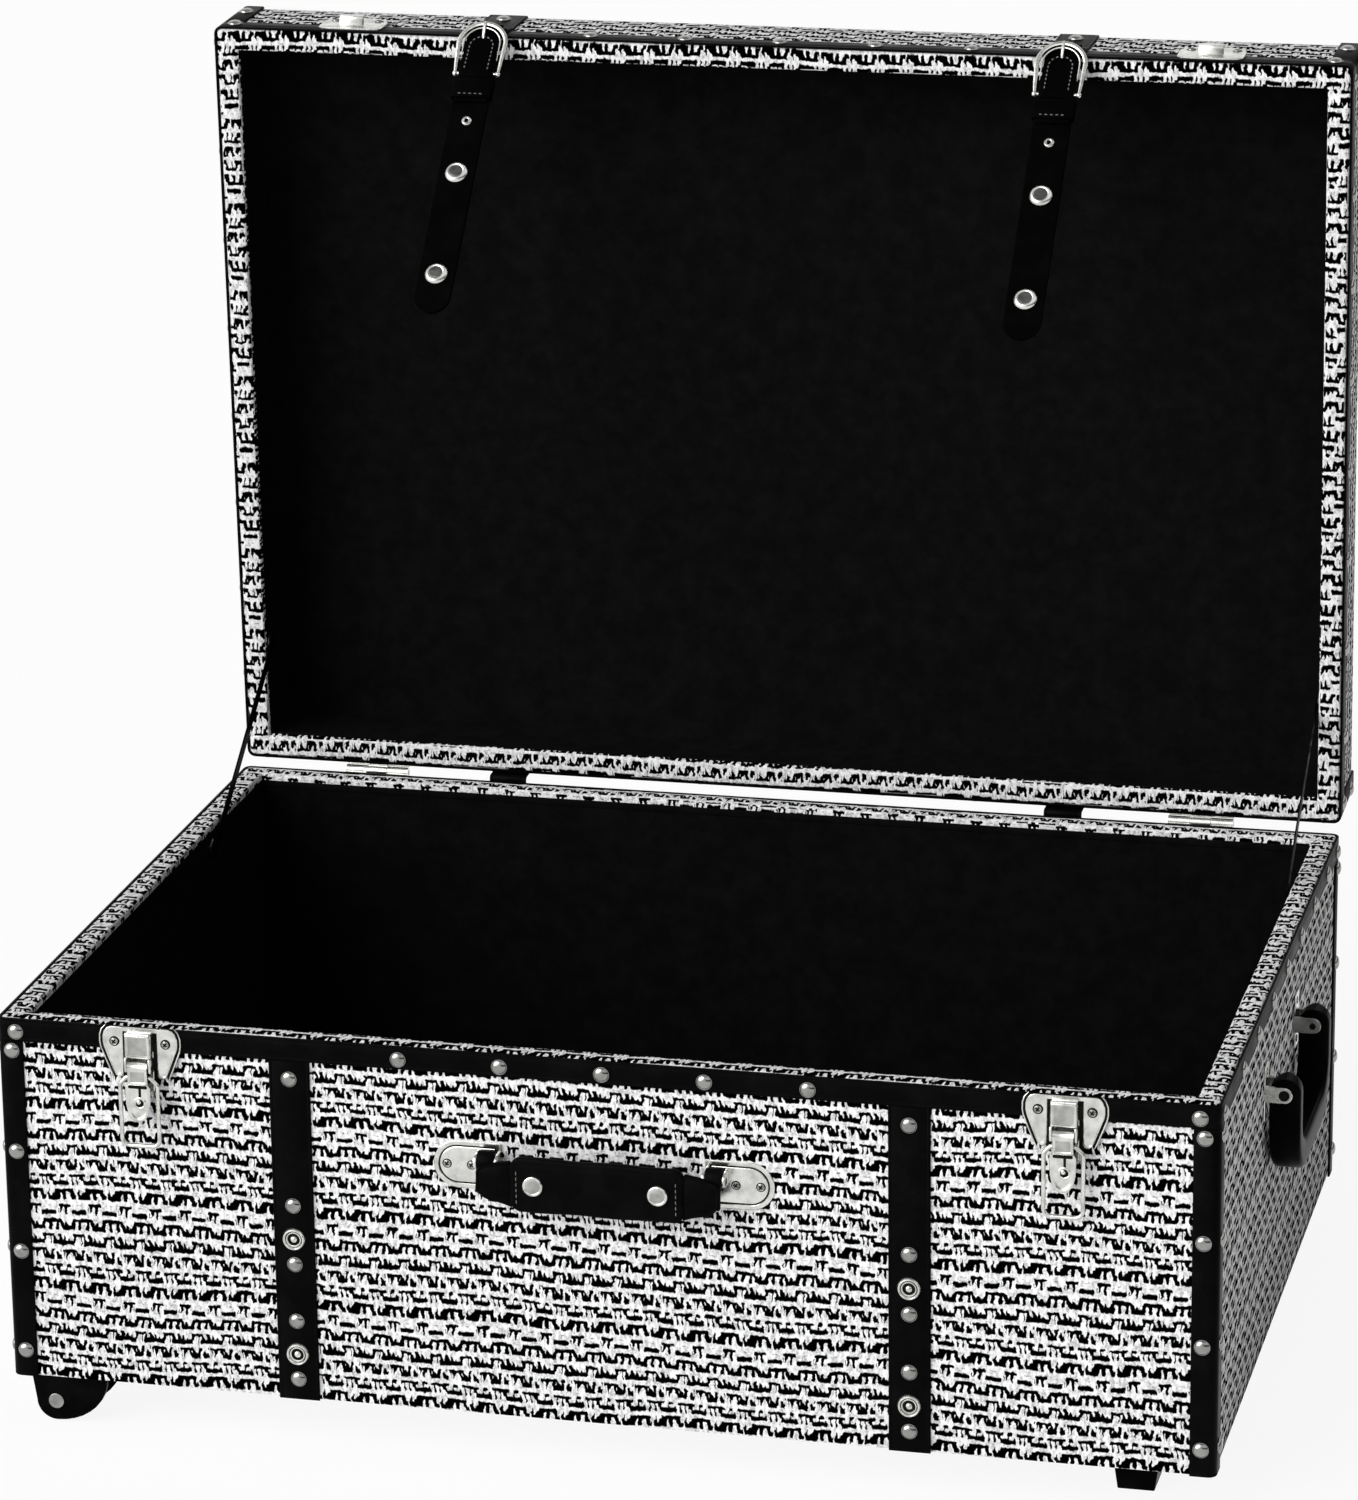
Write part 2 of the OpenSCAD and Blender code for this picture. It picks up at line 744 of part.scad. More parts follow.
module side_pins() {
    outer = bail_w / 2 + side_gap + bracket_t;
    color(nickel) on_body()
        for (side = [-1, 1])
            for (end = [-1, 1])
                translate([side * (half_l + side_pin_out), body_w / 2, side_pin_z]) {
                    p0 = end > 0 ? bail_w / 2 - bail_arm : -outer;
                    h0 = end > 0 ? outer : -outer - pin_head_t;
                    bar_y(0, p0, p0 + outer - bail_w / 2 + bail_arm, 0, side_pin_r);
                    bar_y(0, h0, h0 + pin_head_t, 0, pin_head_r);
                }
}

// Wheels in housings under the left end, feet under the right end
axle_z = wheel_r - foot_h;
cheek_plate = 3;
wheel_side = 1.5;
housing_w = 2 * (cheek_plate + wheel_side) + wheel_w;
housing_top = 1.5;
cheek_r = wheel_r - 1.5;
housing_left = 15.5;
housing_right = 34;
axle_head_r = 5;
axle_head_t = 1.2;
wheel_x = wheel_in - half_l;
// Calls its child once at the front and once mirrored at the back
module front_and_back() {
    children();
    translate([0, body_w, 0]) mirror([0, 1, 0]) children();
}
module wheel_housings() {
    color(plastic) on_body() front_and_back() translate([wheel_x, housing_in, 0]) difference() {
        union() {
            block(-housing_left, housing_right, 0, housing_w, -housing_top, 0);
            for (y = [0, housing_w - cheek_plate])
                slab_xz(y, y + cheek_plate) {
                    translate([0, axle_z]) circle(cheek_r);
                    polygon([
                        [-housing_left, 0],
                        for (turn = [0:10:90])
                            [housing_right * cos(turn), (axle_z - cheek_r) * sin(turn)],
                        [0, axle_z], [-cheek_r, axle_z]
                    ]);
                }
        }
        bar_y(0, -over, housing_w + over, axle_z, axle_r + pin_fit);
    }
}
module wheel_axles() {
    color(nickel) on_body() front_and_back() translate([wheel_x, housing_in, 0]) {
        bar_y(0, 0, housing_w, axle_z, axle_r);
        bar_y(0, -axle_head_t, 0, axle_z, axle_head_r);
        bar_y(0, housing_w, housing_w + axle_head_t, axle_z, axle_head_r);
    }
}
module wheel_at(y0) {
    color(rubber) on_body() difference() {
        bar_y(wheel_x, y0, y0 + wheel_w, axle_z, wheel_r);
        bar_y(wheel_x, y0 - over, y0 + wheel_w + over, axle_z, axle_r + pin_fit);
    }
}
module wheel_front() {
    wheel_at(housing_in + cheek_plate + wheel_side);
}
module wheel_back() {
    wheel_at(body_w - housing_in - cheek_plate - wheel_side - wheel_w);
}
module feet() {
    color(rubber) on_body() front_and_back() translate([half_l - foot_in, 0, 0])
        slab_xz(foot_edge, foot_edge + foot_d) polygon([
            [-foot_top / 2, 0], [foot_top / 2, 0], [foot_bottom / 2, -foot_h], [-foot_bottom / 2, -foot_h]
        ]);
}

// Hinges: two outer knuckles on the body's leaf, one middle knuckle on the lid's
middle_knuckle = 0.33;
leaf_top = hinge_z - knuckle_r + 1;
web_gap = 0.3;
module hinge_bore() {
    bar_x(-half_l, half_l, hinge_y, hinge_z, hinge_pin_r + pin_fit);
}
module hinge_base_leaves() {
    color(nickel) on_body() difference() {
        for (side = [-1, 1]) {
            x = side * hinge_x;
            block(x - hinge_w / 2, x + hinge_w / 2, body_w + trim_t, body_w + trim_t + leaf_t,
                leaf_top - leaf_h, leaf_top);
            for (k = [-1, 1]) {
                x0 = k > 0 ? x + hinge_w * middle_knuckle / 2 : x - hinge_w / 2;
                x1 = x0 + hinge_w * (1 - middle_knuckle) / 2;
                block(x0, x1, body_w + trim_t, hinge_y, hinge_z - knuckle_r, hinge_z - web_gap);
                bar_x(x0, x1, hinge_y, hinge_z, knuckle_r);
            }
        }
        hinge_bore();
    }
}
module hinge_lid_leaves() {
    shift = hinge_z - lid_z;
    color(nickel) on_lid() difference() {
        for (side = [-1, 1]) {
            x = side * hinge_x;
            x0 = x - hinge_w * middle_knuckle / 2 + side_gap;
            x1 = x + hinge_w * middle_knuckle / 2 - side_gap;
            block(x - hinge_w / 2, x + hinge_w / 2, body_w + trim_t, body_w + trim_t + leaf_t,
                shift + knuckle_r - 1, shift + knuckle_r - 1 + leaf_h);
            block(x0, x1, body_w + trim_t, hinge_y, shift + web_gap, shift + knuckle_r);
            bar_x(x0, x1, hinge_y, shift, knuckle_r);
        }
        bar_x(-half_l, half_l, hinge_y, shift, hinge_pin_r + pin_fit);
    }
}
module hinge_pins() {
    color(nickel) on_body()
        for (x = [-hinge_x, hinge_x])
            bar_x(x - hinge_w / 2, x + hinge_w / 2, hinge_y, hinge_z, hinge_pin_r);
}
// Leather straps that bridge the hinge line; they bend as the lid turns
bridge_t = 1.2;
bridge_reach = 14;
module hinge_straps() {
    y0 = body_w + 2 * trim_t;
    turn = hinge_y - y0;
    color(leather)
        for (x = [-strap_x, strap_x]) {
            on_body() block(x - strap_w / 2, x + strap_w / 2, y0, y0 + bridge_t,
                hinge_z - bridge_reach, hinge_z + turn);
            on_lid() block(x - strap_w / 2, x + strap_w / 2, y0, y0 + bridge_t,
                hinge_z - lid_z - turn, hinge_z - lid_z + bridge_reach);
        }
}

// Lid stays: a ribbon at each side between an anchor on the body and one on the lid
anchor_t = 2;
ribbon_t = 1;
stay_turn = [stay_lid_y - hinge_y, lid_z + stay_lid_z - hinge_z];
stay_from = [stay_base_y, body_h - stay_drop];
stay_to = [
    hinge_y + stay_turn[0] * cos(lid_angle) + stay_turn[1] * sin(lid_angle),
    hinge_z - stay_turn[0] * sin(lid_angle) + stay_turn[1] * cos(lid_angle)
];
module stay(side) {
    run = stay_to - stay_from;
    x = side * (half_l - wall - anchor_t);
    color(leather) on_body()
        slab_yz(side > 0 ? x - ribbon_t : x, side > 0 ? x : x + ribbon_t)
            translate(stay_from) rotate(atan2(run[1], run[0])) {
                translate([0, -stay_w / 2]) square([norm(run), stay_w]);
                circle(stay_w / 2);
                translate([norm(run), 0]) circle(stay_w / 2);
            }
}
module stays() {
    for (side = [-1, 1])
        stay(side);
}
module anchor_disc(side, y, z) {
    translate([side * (half_l - wall), y, z]) rotate([0, -side * 90, 0]) cylinder(r = anchor_r, h = anchor_t);
}
module stay_base_anchors() {
    color(nickel) on_body()
        for (side = [-1, 1])
            anchor_disc(side, stay_from[0], stay_from[1]);
}
module stay_lid_anchors() {
    color(nickel) on_lid()
        for (side = [-1, 1])
            anchor_disc(side, stay_lid_y, stay_lid_z);
}

// Lid boards, cover and lining, drawn closed with the rim at z = 0
lid_top_z = lid_h - cover_t - lid_top_t;
module lid_front_panel() {
    color(board) on_lid() intersection() {
        board_outline(cover_t, lid_top_z);
        block(-half_l, half_l, 0, cover_t + board_t, 0, lid_h);
    }
}
module lid_back_panel() {
    color(board) on_lid() intersection() {
        board_outline(cover_t, lid_top_z);
        block(-half_l, half_l, body_w - cover_t - board_t, body_w, 0, lid_h);
    }
}
module lid_side_panel(side) {
    x = side * (half_l - cover_t - board_t / 2);
    color(board) on_lid()
        block(x - board_t / 2, x + board_t / 2,
            cover_t + board_t, body_w - cover_t - board_t, cover_t, lid_top_z);
}
module lid_left_panel() {
    lid_side_panel(-1);
}
module lid_right_panel() {
    lid_side_panel(1);
}
module lid_top_panel() {
    color(board) on_lid() board_outline(lid_top_z, lid_h - cover_t);
}
module lid_cover() {
    color(tweed) on_lid() difference() {
        linear_extrude(lid_h) outline(0);
        board_outline(cover_t, lid_h - cover_t);
        block(wall - half_l, half_l - wall, wall, body_w - wall, -over, cover_t + over);
    }
}
module lid_lining() {
    inset = cover_t + board_t;
    color(lining) on_lid() difference() {
        block(inset - half_l, half_l - inset, inset, body_w - inset, cover_t, lid_top_z);
        block(wall - half_l, half_l - wall, wall, body_w - wall, cover_t - over, lid_top_z - lining_t);
    }
}

// Leather trim and nails of the lid
module lid_rim_band() {
    color(leather) on_lid() ring(band_h, trim_t);
}
module lid_corner_bands() {
    color(leather) on_lid() intersection() {
        translate([0, 0, band_h]) ring(lid_h - band_h, trim_t);
        corner_pieces(lid_h);
    }
}
// The strap's stitched end stands out a little towards the buckle
fold_low = 5.3;
fold_top = 9.3;
fold_out = 5;
module lid_straps() {
    color(leather) on_lid()
        for (x = [-strap_x, strap_x])
            slab_yz(x - strap_w / 2, x + strap_w / 2) {
                difference() {
                    translate([-trim_t, band_h]) square([body_w + 2 * trim_t, lid_h + trim_t - band_h]);
                    translate([0, band_h - over]) square([body_w, lid_h - band_h + over]);
                }
                translate([-2 * trim_t, strap_end + 1]) square([trim_t, band_h + strap_lap]);
                translate([-fold_out, fold_low]) square([fold_out - 2 * trim_t + 0.1, fold_top - fold_low]);
                translate([body_w + trim_t, strap_end]) square([trim_t, band_h + strap_lap]);
            }
}
lid_strap_nail_z = 47;
lid_corner_nail_z = 18;
top_nail_first = 40;
top_row = [top_nail_first : nail_pitch : body_w - top_nail_first];
module lid_nails() {
    color(nickel) on_lid() {
        for (i = middle_row) {
            facing_front([middle_shift + i * nail_pitch, -trim_t, nail_drop]) nail();
            facing_back([middle_shift + i * nail_pitch, body_w + trim_t, nail_drop]) nail();
        }
        for (x = [end_nail_in - half_l, half_l - end_nail_in]) {
            facing_front([x, -trim_t, nail_drop]) nail();
            facing_back([x, body_w + trim_t, nail_drop]) nail();
        }
        for (x = [corner_nail_in - half_l, half_l - corner_nail_in]) {
            facing_front([x, -trim_t, lid_h - lid_corner_nail_z]) nail();
            facing_back([x, body_w + trim_t, lid_h - lid_corner_nail_z]) nail();
        }
        for (side = [-1, 1]) {
            for (y = side_row)
                facing_side(side, [side * (half_l + trim_t), y, nail_drop]) nail();
            for (y = [end_nail_in, body_w - end_nail_in])
                facing_side(side, [side * (half_l + trim_t), y, nail_drop]) nail();
            for (y = [corner_nail_in, body_w - corner_nail_in])
                facing_side(side, [side * (half_l + trim_t), y, lid_h - lid_corner_nail_z]) nail();
        }
        for (x = [-strap_x, strap_x]) {
            facing_front([x, -trim_t, lid_strap_nail_z]) nail();
            facing_back([x, body_w + trim_t, lid_strap_nail_z]) nail();
            for (y = top_row)
                translate([x, y, lid_h + trim_t]) nail();
        }
    }
}
keeper_screw_x = 15;
keeper_screw_z = 24;
module lid_screws() {
    color(nickel) on_lid() {
        for (x = [-latch_x, latch_x])
            for (dx = [-keeper_screw_x, keeper_screw_x])
                facing_front([x + dx, -plate_out, keeper_screw_z]) screw_head(screw_r, screw_h);
        translate([0, 0, hinge_z - lid_z]) mirror([0, 0, 1]) leaf_screw_set(body_w + trim_t + leaf_t);
    }
}

// Strap tails: the pivot is the origin, the tail hangs along -Z and faces -Y
bar_z = -buckle_len;
arc_z = 2 - buckle_r;
foot_x = buckle_r - 1.5;
buckle_ball_r = 2;
tongue_end = 1.4;
lap_gap = 0.2;
lap_low = buckle_len + 23;
lap_half = 11.5;
// Where the lid strap's end starts to slant towards the tail's face
lap_turn = 1;
lap_back = buckle_wire_r + lap_gap;
loop_high = 15;
loop_t = 1.2;
loop_z = -buckle_len - 20;
prong_r = 1.1;
eyelet_r = 3.5;
eyelet_h = 0.8;
eyelet_z = -74;
cap_h = 3;
module strap_tail(side) {
    color(leather) on_tail(side) {
        slab_xz(-tail_t / 2, tail_t / 2) {
            translate([-tail_w / 2, tail_w / 2 - tail_len])
                square([tail_w, tail_len - tail_w / 2 - buckle_len - buckle_wire_r - lap_gap]);
            translate([0, tail_w / 2 - tail_len]) circle(tail_w / 2);
        }
        // The lid strap's end: behind the buckle's round end, over its bar and down the tail's face
        slab_yz(-lap_half, lap_half) {
            intersection() {
                circle(lap_back + tongue_end);
                translate([lap_back, 0]) square(lap_back + tongue_end);
            }
            polygon([
                [lap_back, 0], [lap_back + tongue_end, 0], [lap_back + tongue_end, -lap_turn],
                [-lap_back, bar_z + 2], [-lap_back, bar_z - lap_back], [-tail_t / 2, bar_z - lap_back - 1],
                [-tail_t / 2, -lap_low], [-tail_t / 2 - tongue_end, -lap_low],
                [-lap_back - tongue_end, bar_z - lap_back], [-lap_back - tongue_end, bar_z + 2],
                [lap_back, -lap_turn]
            ]);
        }
    }
}
module strap_tail_left() {
    strap_tail(-1);
}
module strap_tail_right() {
    strap_tail(1);
}
module tail_loop(side) {
    front = lap_back + tongue_end;
    color(leather) on_tail(side) difference() {
        block(-tail_w / 2 - loop_t, tail_w / 2 + loop_t, -front - loop_t, tail_t / 2 + loop_t,
            loop_z, loop_z + loop_high);
        block(-tail_w / 2, tail_w / 2, -front, tail_t / 2, loop_z - over, loop_z + loop_high + over);
    }
}
module tail_loop_left() {
    tail_loop(-1);
}
module tail_loop_right() {
    tail_loop(1);
}
module tail_buckle(side) {
    leg = norm([buckle_r - foot_x, arc_z - bar_z]);
    prong_low = -lap_back - tongue_end - lap_gap - prong_r;
    prong_top = -buckle_wire_r - prong_r - 0.1;
    prong_high = arc_z + buckle_r;
    color(nickel) on_tail(side) {
        translate([0, 0, arc_z]) rotate([90, 0, 0])
            rotate_extrude(angle = 180) translate([buckle_r, 0]) circle(buckle_wire_r);
        for (s = [-1, 1]) {
            translate([s * foot_x, 0, bar_z]) sphere(buckle_ball_r);
            translate([s * foot_x, 0, bar_z]) rotate([0, s * atan((buckle_r - foot_x) / (arc_z - bar_z)), 0])
                cylinder(r = buckle_wire_r, h = leg);
            translate([s * buckle_r, 0, arc_z]) sphere(buckle_wire_r + 0.1);
        }
        bar_x(-foot_x, foot_x, 0, bar_z, buckle_wire_r);
        translate([0, prong_low, bar_z])
            rotate([-atan((prong_top - prong_low) / (prong_high - bar_z)), 0, 0])
                cylinder(r = prong_r, h = norm([prong_top - prong_low, prong_high - bar_z]));
    }
}
module tail_buckle_left() {
    tail_buckle(-1);
}
module tail_buckle_right() {
    tail_buckle(1);
}
module tail_studs(side) {
    color(nickel) on_tail(side) {
        facing_front([0, -tail_t / 2, eyelet_z]) rotate_extrude() polygon([
            [0.45 * eyelet_r, 0], [eyelet_r, 0], [0.9 * eyelet_r, eyelet_h], [0.6 * eyelet_r, eyelet_h]
        ]);
        for (z = [-cap_first, -cap_first - snap_pitch])
            facing_front([0, -tail_t / 2, z]) dome(cap_r, cap_h);
    }
}
module tail_studs_left() {
    tail_studs(-1);
}
module tail_studs_right() {
    tail_studs(1);
}

base_front_panel();
base_back_panel();
base_left_panel();
base_right_panel();
base_floor_panel();
base_cover();
base_lining();
base_rim_band();
base_corner_bands();
base_front_straps();
base_back_straps();
base_nails();
snap_rings();
base_screws();
latch_plates();
latch_lever_left();
latch_lever_right();
latch_loop_left();
latch_loop_right();
front_pins();
handle_plates();
handle_grip();
handle_rivets();
side_brackets();
side_pins();
side_handle_left();
side_handle_right();
wheel_housings();
wheel_axles();
wheel_front();
wheel_back();
feet();
hinge_base_leaves();
hinge_pins();
hinge_lid_leaves();
hinge_straps();
stays();
stay_base_anchors();
stay_lid_anchors();
lid_front_panel();
lid_back_panel();
lid_left_panel();
lid_right_panel();
lid_top_panel();
lid_cover();
lid_lining();
lid_rim_band();
lid_corner_bands();
lid_straps();
lid_nails();
lid_keepers();
lid_screws();
strap_tail_left();
strap_tail_right();
tail_loop_left();
tail_loop_right();
tail_buckle_left();
tail_buckle_right();
tail_studs_left();
tail_studs_right();
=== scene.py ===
# Dorm trunk in tweed, black leatherette and nickel, shown open.
# Shapes are worked out in millimetres in the trunk's own axes: x from the middle, y back from the
# front wall, z up from the body's underside. A lid piece is drawn on the closed lid, z up from its rim.
import json
import math

import bmesh
import bpy
import numpy as np
from mathutils import Matrix, Vector


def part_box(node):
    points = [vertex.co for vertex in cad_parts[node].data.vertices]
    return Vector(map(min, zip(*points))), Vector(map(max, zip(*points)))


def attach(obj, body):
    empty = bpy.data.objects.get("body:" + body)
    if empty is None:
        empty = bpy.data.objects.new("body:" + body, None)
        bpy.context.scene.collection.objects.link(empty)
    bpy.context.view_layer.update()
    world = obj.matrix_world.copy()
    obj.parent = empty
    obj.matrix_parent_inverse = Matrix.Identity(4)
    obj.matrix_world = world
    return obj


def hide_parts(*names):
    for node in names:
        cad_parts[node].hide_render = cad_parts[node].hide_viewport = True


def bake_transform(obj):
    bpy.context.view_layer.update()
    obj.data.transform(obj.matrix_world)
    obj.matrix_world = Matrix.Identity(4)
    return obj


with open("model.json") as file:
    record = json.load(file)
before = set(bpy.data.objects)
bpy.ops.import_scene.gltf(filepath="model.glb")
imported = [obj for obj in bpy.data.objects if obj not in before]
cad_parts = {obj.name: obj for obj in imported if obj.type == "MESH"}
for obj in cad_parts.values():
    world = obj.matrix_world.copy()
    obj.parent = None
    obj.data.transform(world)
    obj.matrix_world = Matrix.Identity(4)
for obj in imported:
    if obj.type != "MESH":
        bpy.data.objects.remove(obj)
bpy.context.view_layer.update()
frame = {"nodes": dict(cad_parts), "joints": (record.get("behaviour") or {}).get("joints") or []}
mm = 0.001

bodyLow, bodyHigh = [np.array(corner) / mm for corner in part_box("base_cover")]
jointPlaces = {joint["name"]: np.array(joint["pos_m"]) / mm for joint in frame["joints"]}
jointLimits = {joint["name"]: joint.get("range_deg") for joint in frame["joints"]}
trunk = {
    "lidHeight": 62.0, "cornerRadius": 4.0, "wall": 15.0, "bandHeight": 15.0, "trim": 1.5, "closedGap": 1.0,
    "strapX": 194.0, "strapWidth": 26.0, "middleShift": 4.0, "latchX": 289.0, "hingeX": 288.0,
}
half = (bodyHigh[0] - bodyLow[0]) / 2
width, height = bodyHigh[1:] - bodyLow[1:]
lidHeight, wall, band, trim = (trunk[key] for key in ("lidHeight", "wall", "bandHeight", "trim"))
strapX, strapWidth, latchX, hingeX = (trunk[key] for key in ("strapX", "strapWidth", "latchX", "hingeX"))
lidAngle = math.radians(jointLimits["lid_hinge"][1])
tailLean = math.radians(jointLimits["tail_swing_left"][1])
bodyOrigin = np.array([0.0, bodyLow[1], bodyLow[2]])
hingePlace = jointPlaces["lid_hinge"]
hingeInTrunk = hingePlace - bodyOrigin
sides = (-1, 1)
sideWords = ((-1, "left"), (1, "right"))
print("frame loaded")


# Placing

# Points turned about the x axis by an angle: y' = y cos a - z sin a, z' = y sin a + z cos a.
def turnX(points, angle):
    c, s = math.cos(angle), math.sin(angle)
    x, y, z = np.moveaxis(np.asarray(points, float), -1, 0)
    return np.stack([x, y * c - z * s, y * s + z * c], axis=-1)


# Points that are in the frame already.
def inFrame(points):
    return points


# Trunk axes to the frame: the origin is added.
def onBody(points):
    return np.asarray(points, float) + bodyOrigin


# Closed lid to the frame: measured from the hinge line, turned open, set on the hinge line.
def onLid(points):
    fromHinge = np.asarray(points, float) - [0, hingeInTrunk[1], -trunk["closedGap"] / 2]
    return turnX(fromHinge, -lidAngle) + hingePlace


# A strap tail hangs along -z from its own pivot and faces -y; it is turned by its lean.
def onTail(word):
    return lambda points: turnX(points, -tailLean) + jointPlaces["tail_swing_" + word]


# A small flat piece drawn in (x, y) with its face towards +z, set on a wall at a place.
def facing(wallName, shape, place=(0, 0, 0)):
    points, faces = shape
    x, y, z = np.moveaxis(np.asarray(points, float), -1, 0)
    turned = {
        "front": (x, -z, y), "back": (-x, z, y), "right": (z, x, y), "left": (-z, -x, y), "top": (x, y, z),
    }[wallName]
    return np.stack(turned, axis=-1) + np.asarray(place, float), faces


# The same small piece at each of several places on a wall.
def scattered(wallName, shape, places):
    return [facing(wallName, shape, place) for place in places]


def moved(shape, offset):
    return shape[0] + np.asarray(offset, float), shape[1]


# Shapes

# Corner numbers of the four-sided faces between neighbouring rows and columns of a grid.
def gridFaces(rows, columns, closeRows=False, closeColumns=False):
    r = np.arange(rows if closeRows else rows - 1)
    c = np.arange(columns if closeColumns else columns - 1)
    r, c = np.meshgrid(r, c, indexing="ij")
    r2, c2 = (r + 1) % rows, (c + 1) % columns
    quads = np.stack([r * columns + c, r * columns + c2, r2 * columns + c2, r2 * columns + c], axis=-1)
    return quads.reshape(-1, 4).tolist()


# Faces of a tube that has rows of n points: its side, and its two ends, each forwards (1) or back (-1).
def tubeFaces(rows, n, low=1, high=1):
    ends = [list(range(n))[::low], list(range(n * (rows - 1), n * rows))[::high]]
    return gridFaces(rows, n, closeColumns=True) + ends


def joined(shapes):
    points, faces, start = [], [], 0
    for p, f in shapes:
        p = np.asarray(p, float).reshape(-1, 3)
        points.append(p)
        faces += [[i + start for i in face] for face in f]
        start += len(p)
    return np.concatenate(points), faces


# One of the shape for the left and one for the right, each moved out by x.
def bothSides(shape, x):
    return joined([moved(shape, [side * x, 0, 0]) for side in sides])


# A profile of (radius, height) turned about z.
def lathe(profile, segments=24):
    profile = np.asarray(profile, float)
    a = np.linspace(0, 2 * math.pi, segments, endpoint=False)
    x = profile[:, :1] * np.cos(a)
    y = profile[:, :1] * np.sin(a)
    z = np.repeat(profile[:, 1:], segments, axis=1)
    return np.stack([x, y, z], axis=-1).reshape(-1, 3), gridFaces(len(profile), segments, closeColumns=True)


# An arc of points (x, y) about a centre between two angles in degrees.
def arc(cx, cy, r, start, end, count=8):
    a = np.radians(np.linspace(start, end, count))
    return np.stack([cx + r * np.cos(a), cy + r * np.sin(a)], axis=-1)


# A closed outline moved inwards: each point goes along the sum of its two edge normals.
def insetOutline(outline, distance):
    before = outline - np.roll(outline, 1, axis=0)
    after = np.roll(outline, -1, axis=0) - outline
    n1 = np.stack([-before[:, 1], before[:, 0]], -1) / np.linalg.norm(before, axis=1, keepdims=True)
    n2 = np.stack([-after[:, 1], after[:, 0]], -1) / np.linalg.norm(after, axis=1, keepdims=True)
    miter = (n1 + n2) / np.maximum(1 + np.sum(n1 * n2, axis=1, keepdims=True), 0.5)
    return outline + miter * distance


# A flat piece built up from one outline in levels of (inset, height), closed below and above. With even,
# the outline shrinks about its middle: ring = middle + (outline - middle) * (1 - inset / half size).
def pressed(outline, levels, even=False):
    outline = np.asarray(outline, float)
    low, high = outline.min(axis=0), outline.max(axis=0)
    middle, reach = (low + high) / 2, (high - low) / 2
    rings = []
    for inset, z in levels:
        ring = middle + (outline - middle) * (1 - inset / reach) if even else insetOutline(outline, inset)
        rings.append(np.column_stack([ring, np.full(len(outline), z)]))
    return np.concatenate(rings), tubeFaces(len(rings), len(outline), -1)


# A flat piece on the front wall, its back at y.
def onFront(y, outline, levels, even=False):
    return facing("front", pressed(outline, levels, even), [0, y, 0])


# A rectangle with round corners, as an outline that runs anticlockwise.
def roundRect(x0, y0, x1, y1, r, count=3):
    return np.concatenate([
        arc(x1 - r, y0 + r, r, -90, 0, count), arc(x1 - r, y1 - r, r, 0, 90, count),
        arc(x0 + r, y1 - r, r, 90, 180, count), arc(x0 + r, y0 + r, r, 180, 270, count),
    ])


# Keeps an outline's points in anticlockwise order.
def anticlockwise(outline):
    x, y = np.asarray(outline, float).T
    area = np.sum(x * np.roll(y, -1) - y * np.roll(x, -1))
    return np.asarray(outline, float)[:: 1 if area > 0 else -1]


# Sharp outline corners rounded: each edge keeps its middle three fifths, once a round.
def softened(outline, rounds=1):
    p = anticlockwise(outline)
    for _ in range(rounds):
        following = np.roll(p, -1, axis=0)
        p = np.stack([0.8 * p + 0.2 * following, 0.2 * p + 0.8 * following], axis=1).reshape(-1, 2)
    return p


# A slab of even thickness along x from an outline in (y, z), its edges eased.
def slabX(outline, x0, x1, ease=0.3):
    t = x1 - x0
    levels = [(ease, 0), (0.3 * ease, 0.3 * ease), (0, ease)]
    levels += [(inset, t - z) for inset, z in levels[::-1]]
    points, faces = pressed(anticlockwise(outline), levels)
    return points[:, [2, 0, 1]] + [x0, 0, 0], faces


# The direction of travel at each point of a path: the step to its neighbours, made one long.
def runOf(path):
    run = np.gradient(path, axis=0)
    return run / np.linalg.norm(run, axis=1, keepdims=True)


# Flat points (x, z) as a path in the plane of constant y.
def upright(flat, y=0.0):
    flat = np.asarray(flat, float)
    return np.column_stack([flat[:, 0], np.full(len(flat), y), flat[:, 1]])


# A closed profile of (side, up) carried along a path; up is the cross product of side and run.
def carried(path, profile, side, scale=None):
    path, profile, side = [np.asarray(v, float) for v in (path, profile, side)]
    up = np.cross(side, runOf(path))
    size = np.ones((len(path), 2)) if scale is None else np.asarray(scale, float)
    size = np.broadcast_to(size.reshape(len(path), -1), (len(path), 2))
    a = profile[None, :, 0, None] * size[:, :1, None]
    b = profile[None, :, 1, None] * size[:, 1:, None]
    points = path[:, None] + a * side + b * up[:, None]
    return points.reshape(-1, 3), tubeFaces(len(path), len(profile), 1, -1)


def circleProfile(r, count=12):
    return arc(0, 0, r, 0, 360 * (count - 1) / count, count)


# A rod along x.
def rodX(x0, x1, y, z, r, count=16):
    return carried([[x0, y, z], [x1, y, z]], circleProfile(r, count), [0, 1, 0])


# Leather

leatherEdge = {
    "inset": np.array([0, 0, 0.25, 0.7, 1.7, 2.1, 2.5]),
    "rise": np.array([0, 0.6, 0.88, 1, 1, 0.86, 1]),
    "sunk": 0.1,
}


